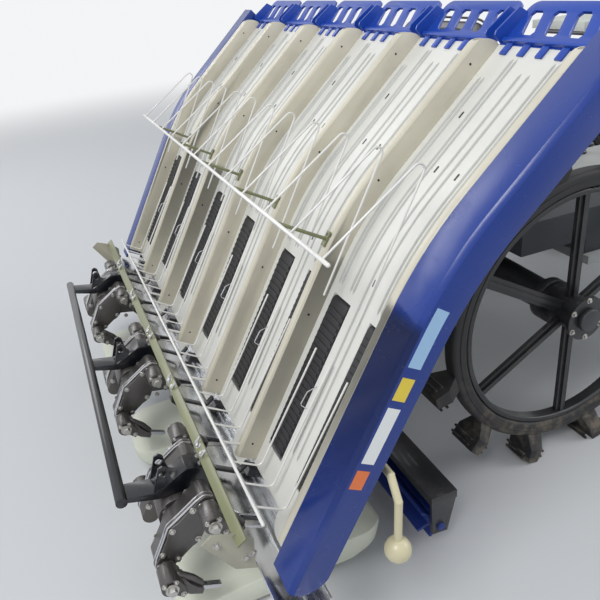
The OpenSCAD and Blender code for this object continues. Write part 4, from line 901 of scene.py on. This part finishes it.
PADS = [("seat_cushion", SEAT_MIDDLE, CUSHION_TILT, (0.148, 0.200, 0.023), (-0.075, 0.0, 0.075)),
        ("seat_back", BACK_MIDDLE, BACK_TILT, (0.140, 0.198, 0.021), (-0.070, 0.0, 0.070))]
for name, middle, angle, half, lines in PADS:
    pad = add_piece(name, [pillow(half, middle, angle)], "chassis", "seat_cover", LEATHER)
    remesh(pad)
    pad.data.materials.clear()
    pad.data.materials.append(LEATHER)
    inflate(pad)
    sewn(pad, middle, angle, lines, half[1])
    pad.data.shade_smooth()
    smoother = pad.modifiers.new("smoother", "SUBSURF")
    smoother.levels = 1
    smoother.render_levels = 1
    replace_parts(pad, "seat")
    rim = powered(circles(64, X_AXIS, Y_AXIS), SQUARENESS)
    rim = tilted(rim * (half[0] + 0.004, half[1] + 0.004, 0.0), middle, angle)
    ahead = np.roll(rim, -1, axis=0) - np.roll(rim, 1, axis=0)
    ahead /= np.linalg.norm(ahead, axis=1)[:, None]
    upward = np.array([sin(angle), 0.0, cos(angle)])
    piping = closed_pipe(rim, np.cross(ahead, upward), upward, 0.0032, 8)
    add_piece(name + "_piping", [piping], "chassis", "seat_cover", LEATHER)


def pressing(outline, levels, middle, angle):
    """A pressed plate: an outline scaled and lifted to each level, then tilted and moved to a middle."""
    rings = [np.column_stack([outline * k, np.full(len(outline), h)]) for k, h in levels]
    return loft(tilted(np.stack(rings), middle, angle))


PAN_MIDDLE, SHELL_MIDDLE, LEGS_X = (-0.105, 0.0, 0.858), (-0.313, 0.0, 1.035), -0.110
PAN_LEVELS = [(0.92, -0.016), (1.0, -0.008), (1.0, 0.006), (0.97, 0.010)]
SHELL_LEVELS = [(0.96, -0.012), (1.0, -0.006), (1.0, 0.004), (0.96, 0.007)]
LEG_LEVELS = [(1.0, 0.7004), (1.0, 0.706), (1.0, 0.838), (1.0, 0.852)]
seat_parts = [pressing(soft_box(0.380, 0.425, 0.05, 6), PAN_LEVELS, PAN_MIDDLE, CUSHION_TILT),
              pressing(soft_box(0.300, 0.415, 0.05, 6), SHELL_LEVELS, SHELL_MIDDLE, BACK_TILT)]
for side in (-1, 1):
    leg_place = (LEGS_X, side * 0.130, 0.0)
    seat_parts.append(pressing(soft_box(0.300, 0.030, 0.008, 3), LEG_LEVELS, leg_place, 0.0))
    arm = [(x, side * 0.150, z) for x, z in ((-0.265, 0.862), (-0.300, 0.890), (-0.330, 0.985))]
    seat_parts.append(pipe(rounded(arm, 0.03, 5), 0.011))
add_piece("seat_frame", seat_parts, "chassis", "frame_black")

# %% [markdown]
# ## Hooks and mat feelers
# Black hooks hang from the olive bar. Each is a flat strip that comes down between two rows and curls in
# at the table's lower edge. In every row a thin wire feeler stands on the floor beside a belt.

# %% Hooks and feelers
def ribbon(path, width, thick):
    """A flat strip along a path in an upright plane: a rounded rectangle carried square to the path."""
    ahead, across, up = frame_along(path)
    outline = soft_box(width, thick, thick * 0.35, 2)
    return loft(path[:, None] + outline[:, :1] * across[:, None] + outline[:, 1:] * up[:, None])


HOOK = [(-0.004, 0.134), (-0.042, 0.088), (-0.046, 0.022), (-0.018, 0.012)]
FEELER = [(0.205, -0.0010), (0.212, 0.020), (0.245, 0.017), (0.262, -0.0010)]
hooks = [ribbon(bent(HOOK, y, 0.014, 6), 0.018, 0.0065) for y in BETWEEN]
feelers = [pipe(bent(FEELER, row + 0.034, 0.006, 5), 0.0012, 8) for row in ROWS]
add_piece("bar_hooks", hooks, "planter", "guard_black")
add_piece("mat_feelers", feelers, "table", "wire_white", FINISHES["rod_chrome"])

# %% [markdown]
# ## Wheels
# The wheels have steel hubs with six bolts, and rubber moulded over the ring. The mould leaves a thin line
# along each side of the ring, and each lug has raised bars on its two flanks that grip the mud.

# %% Hub bolts, mould lines and lug bars
# Rear and front wheels: half the hub's width, radius over the lugs, height of a lug and half its width.
WHEELS = [("rear", 0.055, 0.475, 0.078, 0.046), ("front", 0.045, 0.325, 0.052, 0.038)]
BOLT_CIRCLE, LINE_BELOW, LINE_AT, LINE_RADIUS = 0.0548, 0.023, 0.0232, 0.0016


def around(middle, angle, radius):
    """A place a radius away from the axle, at an angle that grows from ahead downwards."""
    return middle + radius * np.array([cos(angle), 0.0, -sin(angle)])


def lug_bars(middle, wheel_r, half_lug):
    """Two raised bars on each flank of the twelve lugs."""
    bars = []
    half = (half_lug - 0.010) * Y_AXIS
    for k in range(12):
        angle = radians(-90.0 + (k + 0.5) * 30.0)
        flank = np.array([sin(angle), 0.0, cos(angle)])
        for way in (-1, 1):
            for reach in (0.012, 0.030):
                half_wide = wheel_r * sin(radians(4.0)) + reach * 0.12
                start = around(middle, angle, wheel_r - reach) + flank * way * half_wide
                bars.append(pipe(np.linspace(start - half, start + half, 5), 0.0042, 6))
    return bars


for end, half_hub, wheel_r, lug_h, half_lug in WHEELS:
    for hand, side in (("left", 1), ("right", -1)):
        name, body = f"{end}_rim_{hand}", f"{end}_wheel_{hand[0]}"
        box = np.array([v[:] for v in frame["nodes"][name].bound_box])
        middle = (box.min(axis=0) + box.max(axis=0)) / 2.0
        hub = middle + side * (half_hub + 0.006) * Y_AXIS
        spots = [around(hub, radians(-30.0 - 60.0 * k), BOLT_CIRCLE) for k in range(6)]
        bolts = [bolt(spot, (0, side, 0), 0.011) for spot in spots]
        add_piece(name + "_bolts", bolts, body, "rail_steel", ZINC)
        ring = circles(96, X_AXIS, Z_AXIS)
        lines = []
        for edge in (-LINE_AT, LINE_AT):
            centres = middle + (wheel_r - lug_h - LINE_BELOW) * ring + edge * Y_AXIS
            lines.append(closed_pipe(centres, ring, Y_AXIS, LINE_RADIUS, 6))
        lines += lug_bars(middle, wheel_r, half_lug)
        add_piece(name + "_lug_bars", lines, body, "wheel_rubber", smooth=False)

# %% [markdown]
# ## Bonnet, lamp and dashboard
# The lamp has two round lenses in bright rims. The dashboard faces the driver with a round gauge, a window
# with warning lights and a few switches. All the faces are blank: there are no words on them.

# %% Lamp, gauges, switches and caps
LENS = paint("lamp lens", (0.86, 0.88, 0.90), 0.06, 1.0, 0.0, 0.00002)
SCREEN = paint("gauge glass", (0.010, 0.012, 0.014), 0.08, 1.0, 0.02, 0.00001)
DIAL = moulded("dial white", (0.70, 0.71, 0.70), 0.4, 0.0)
RIM = [(0.0310, -0.001), (0.0310, 0.0030), (0.0290, 0.0044), (0.0262, 0.0036), (0.0262, -0.001)]
LENS_DOME = [(0.0262, 0.0006), (0.0225, 0.0030), (0.0150, 0.0050), (0.0070, 0.0060), (0.0010, 0.0062)]
LAMP_AXIS = (1, 0, 0.08)
rims, lenses = [], []
for side in (-1, 1):
    place = (1.3836, side * 0.062, 0.850)
    rims.append(turned(RIM, place, LAMP_AXIS, 40))
    lenses.append(turned(LENS_DOME, place, LAMP_AXIS, 40))
add_piece("lamp_rims", rims, "hood", "lamp_clear", FINISHES["rod_chrome"])
add_piece("lamp_lenses", lenses, "hood", "lamp_clear", LENS)

PANEL = np.array([0.690, 0.0, 0.940])
RISING = np.array([0.7071, 0.0, 0.7071])
OUT = np.array([-0.7071, 0.0, 0.7071])
MIDLINE, GAUGE_Y = 0.050, 0.112
WINDOW = [(1.0, -0.001), (1.0, 0.0060), (0.96, 0.0080), (0.86, 0.0080), (0.84, 0.0060), (0.5, 0.0058)]
GAUGE_RIM = [(0.0270, 0.005), (0.0270, 0.0095), (0.0245, 0.0100), (0.0235, 0.0075), (0.0235, 0.005)]
GAUGE_GLASS = [(0.0234, 0.0060), (0.0228, 0.0074), (0.0010, 0.0076)]
DOT = [(0.0010, 0.0), (0.0009, 0.0004), (0.0002, 0.0004)]
LIGHT = [(0.0056, 0.0), (0.0054, 0.0022), (0.0030, 0.0034), (0.0005, 0.0036)]
BUTTON = [(0.0050, 0.0), (0.0050, 0.0030), (0.0036, 0.0040), (0.0005, 0.0040)]
KEY_SWITCH = [(0.0090, 0.0), (0.0090, 0.0090), (0.0072, 0.0105), (0.0005, 0.0105)]
KNOB = [(0.0040, -0.012), (0.0105, -0.008), (0.0130, 0.0), (0.0105, 0.009), (0.0010, 0.0125)]
FUEL_CAP = [(0.0340, 0.0), (0.0340, 0.0100), (0.0310, 0.0130), (0.0100, 0.0135), (0.0010, 0.0135)]
CAP_PLACE, CAP_RIBS = np.array([0.960, 0.110, 1.0095]), 12


def on_dash(along, y, lift=0.0):
    """A place on the sloped panel, along up from its lower edge and lift over it."""
    return PANEL + along * RISING + (0.0, y, 0.0) + lift * OUT


housings, dials = [], []
for y in (GAUGE_Y, -GAUGE_Y):
    outline = soft_box(0.070, 0.130, 0.010, 5)
    rings = [[on_dash(MIDLINE + k * a, y + k * b, h) for a, b in outline] for k, h in WINDOW]
    housings.append(loft(rings))
gauge = on_dash(MIDLINE, GAUGE_Y)
housings.append(turned(GAUGE_RIM, gauge, OUT, 40))
for k in range(11):
    angle = radians(-130.0 + 26.0 * k)
    for r in (0.0170, 0.0188, 0.0206):
        place = on_dash(MIDLINE + r * cos(angle), GAUGE_Y + r * sin(angle), 0.0074)
        dials.append(turned(DOT, place, OUT, 8))
needle = (on_dash(MIDLINE, GAUGE_Y, 0.0082), on_dash(0.062, GAUGE_Y + 0.0105, 0.0082))
dials.append(pipe(np.linspace(*needle, 3), 0.0008, 6))
lights = [turned(LIGHT, on_dash(along, y, 0.0058), OUT, 20)
          for along in (0.036, 0.064) for y in (-0.086, -0.114)]
for along in (0.030, 0.050, 0.070):
    dials.append(turned(BUTTON, on_dash(along, -0.150, 0.0058), OUT, 16))
stem = [(0.790, -0.150, 1.012), (0.780, -0.150, 1.050), (0.768, -0.150, 1.082)]
housings += [turned(KEY_SWITCH, on_dash(0.028, 0.150), OUT, 24), pipe(rounded(stem, 0.03, 4), 0.0045),
             turned(KNOB, (0.766, -0.150, 1.088), (-0.3, 0, 1.0), 24)]
cap_parts = [turned(FUEL_CAP, CAP_PLACE, (0, 0, 1), 36)]
for out in circles(CAP_RIBS, X_AXIS, Y_AXIS):
    foot = CAP_PLACE + 0.0345 * out
    cap_parts.append(pipe(np.linspace(foot + (0, 0, 0.0008), foot + (0, 0, 0.0100), 3), 0.0024, 6))
add_piece("dash_fittings", housings, "chassis", "lever_black")
add_piece("fuel_cap", cap_parts, "hood", "lever_black")
add_piece("dash_glass", [turned(GAUGE_GLASS, gauge, OUT, 40)], "chassis", "lever_black", SCREEN)
add_piece("dash_dials", dials, "chassis", "tray_grey", DIAL)
AMBER = paint("warning amber", (0.75, 0.25, 0.01), 0.15, 1.0, 0.0, 0.00002)
add_piece("dash_lights", lights, "chassis", "lever_black", AMBER)

# %% [markdown]
# ## The pale studio
# The floor is a plain pale sheet. Only the camera and reflections see it nearly white, so that it does
# not throw extra light on the machine, and the machine's shadow still falls on it.

# %% Floor finish and world
PALE = (0.90, 0.91, 0.92)
SKY = (0.86, 0.90, 0.96)
GLOW_FROM, GLOW_FULL = 3.2, 9.0


def seen_directly(tree):
    """1 where the camera, a reflection or glass looks, and 0 for the light that the surface gives off."""
    rays = tree.nodes.new("ShaderNodeLightPath").outputs
    camera_ray, glossy_ray, through_ray = (Value(tree, rays[f"Is {kind} Ray"])
                                           for kind in ("Camera", "Glossy", "Transmission"))
    return (camera_ray + glossy_ray + through_ray).clamp()


def mixed(tree, factor, first, second, output):
    """Sends a mix of two shader nodes to an output node."""
    mix = tree.nodes.new("ShaderNodeMixShader")
    for term, socket in zip((factor, first.outputs[0], second.outputs[0]), mix.inputs):
        connect(tree, term, socket)
    tree.links.new(mix.outputs[0], tree.nodes[output].inputs["Surface"])


floor_finish = Finish("studio floor", (0.60, 0.61, 0.62), 0.9)
tree = floor_finish.tree
x, y = floor_finish.axis("X"), floor_finish.axis("Y")
far = (x * x + y * y).smooth(GLOW_FROM ** 2, GLOW_FULL ** 2)
glow = floor_finish.node("ShaderNodeEmission", {"Color": PALE, "Strength": 1.0})
mixed(tree, far * seen_directly(tree), floor_finish.shader, glow, "Material Output")
floor.data.materials.append(floor_finish.material)

world = bpy.data.worlds.new("studio_world")
world.use_nodes = True
bpy.context.scene.world = world
sky = world.node_tree
background, backdrop = sky.nodes["Background"], sky.nodes.new("ShaderNodeBackground")
for node, colour, strength in ((background, SKY, 0.55), (backdrop, PALE, 1.0)):
    connect(sky, colour, node.inputs["Color"])
    connect(sky, strength, node.inputs["Strength"])
mixed(sky, seen_directly(sky), background, backdrop, "World Output")
bpy.context.scene.view_settings.view_transform = "Standard"
print("studio ready")
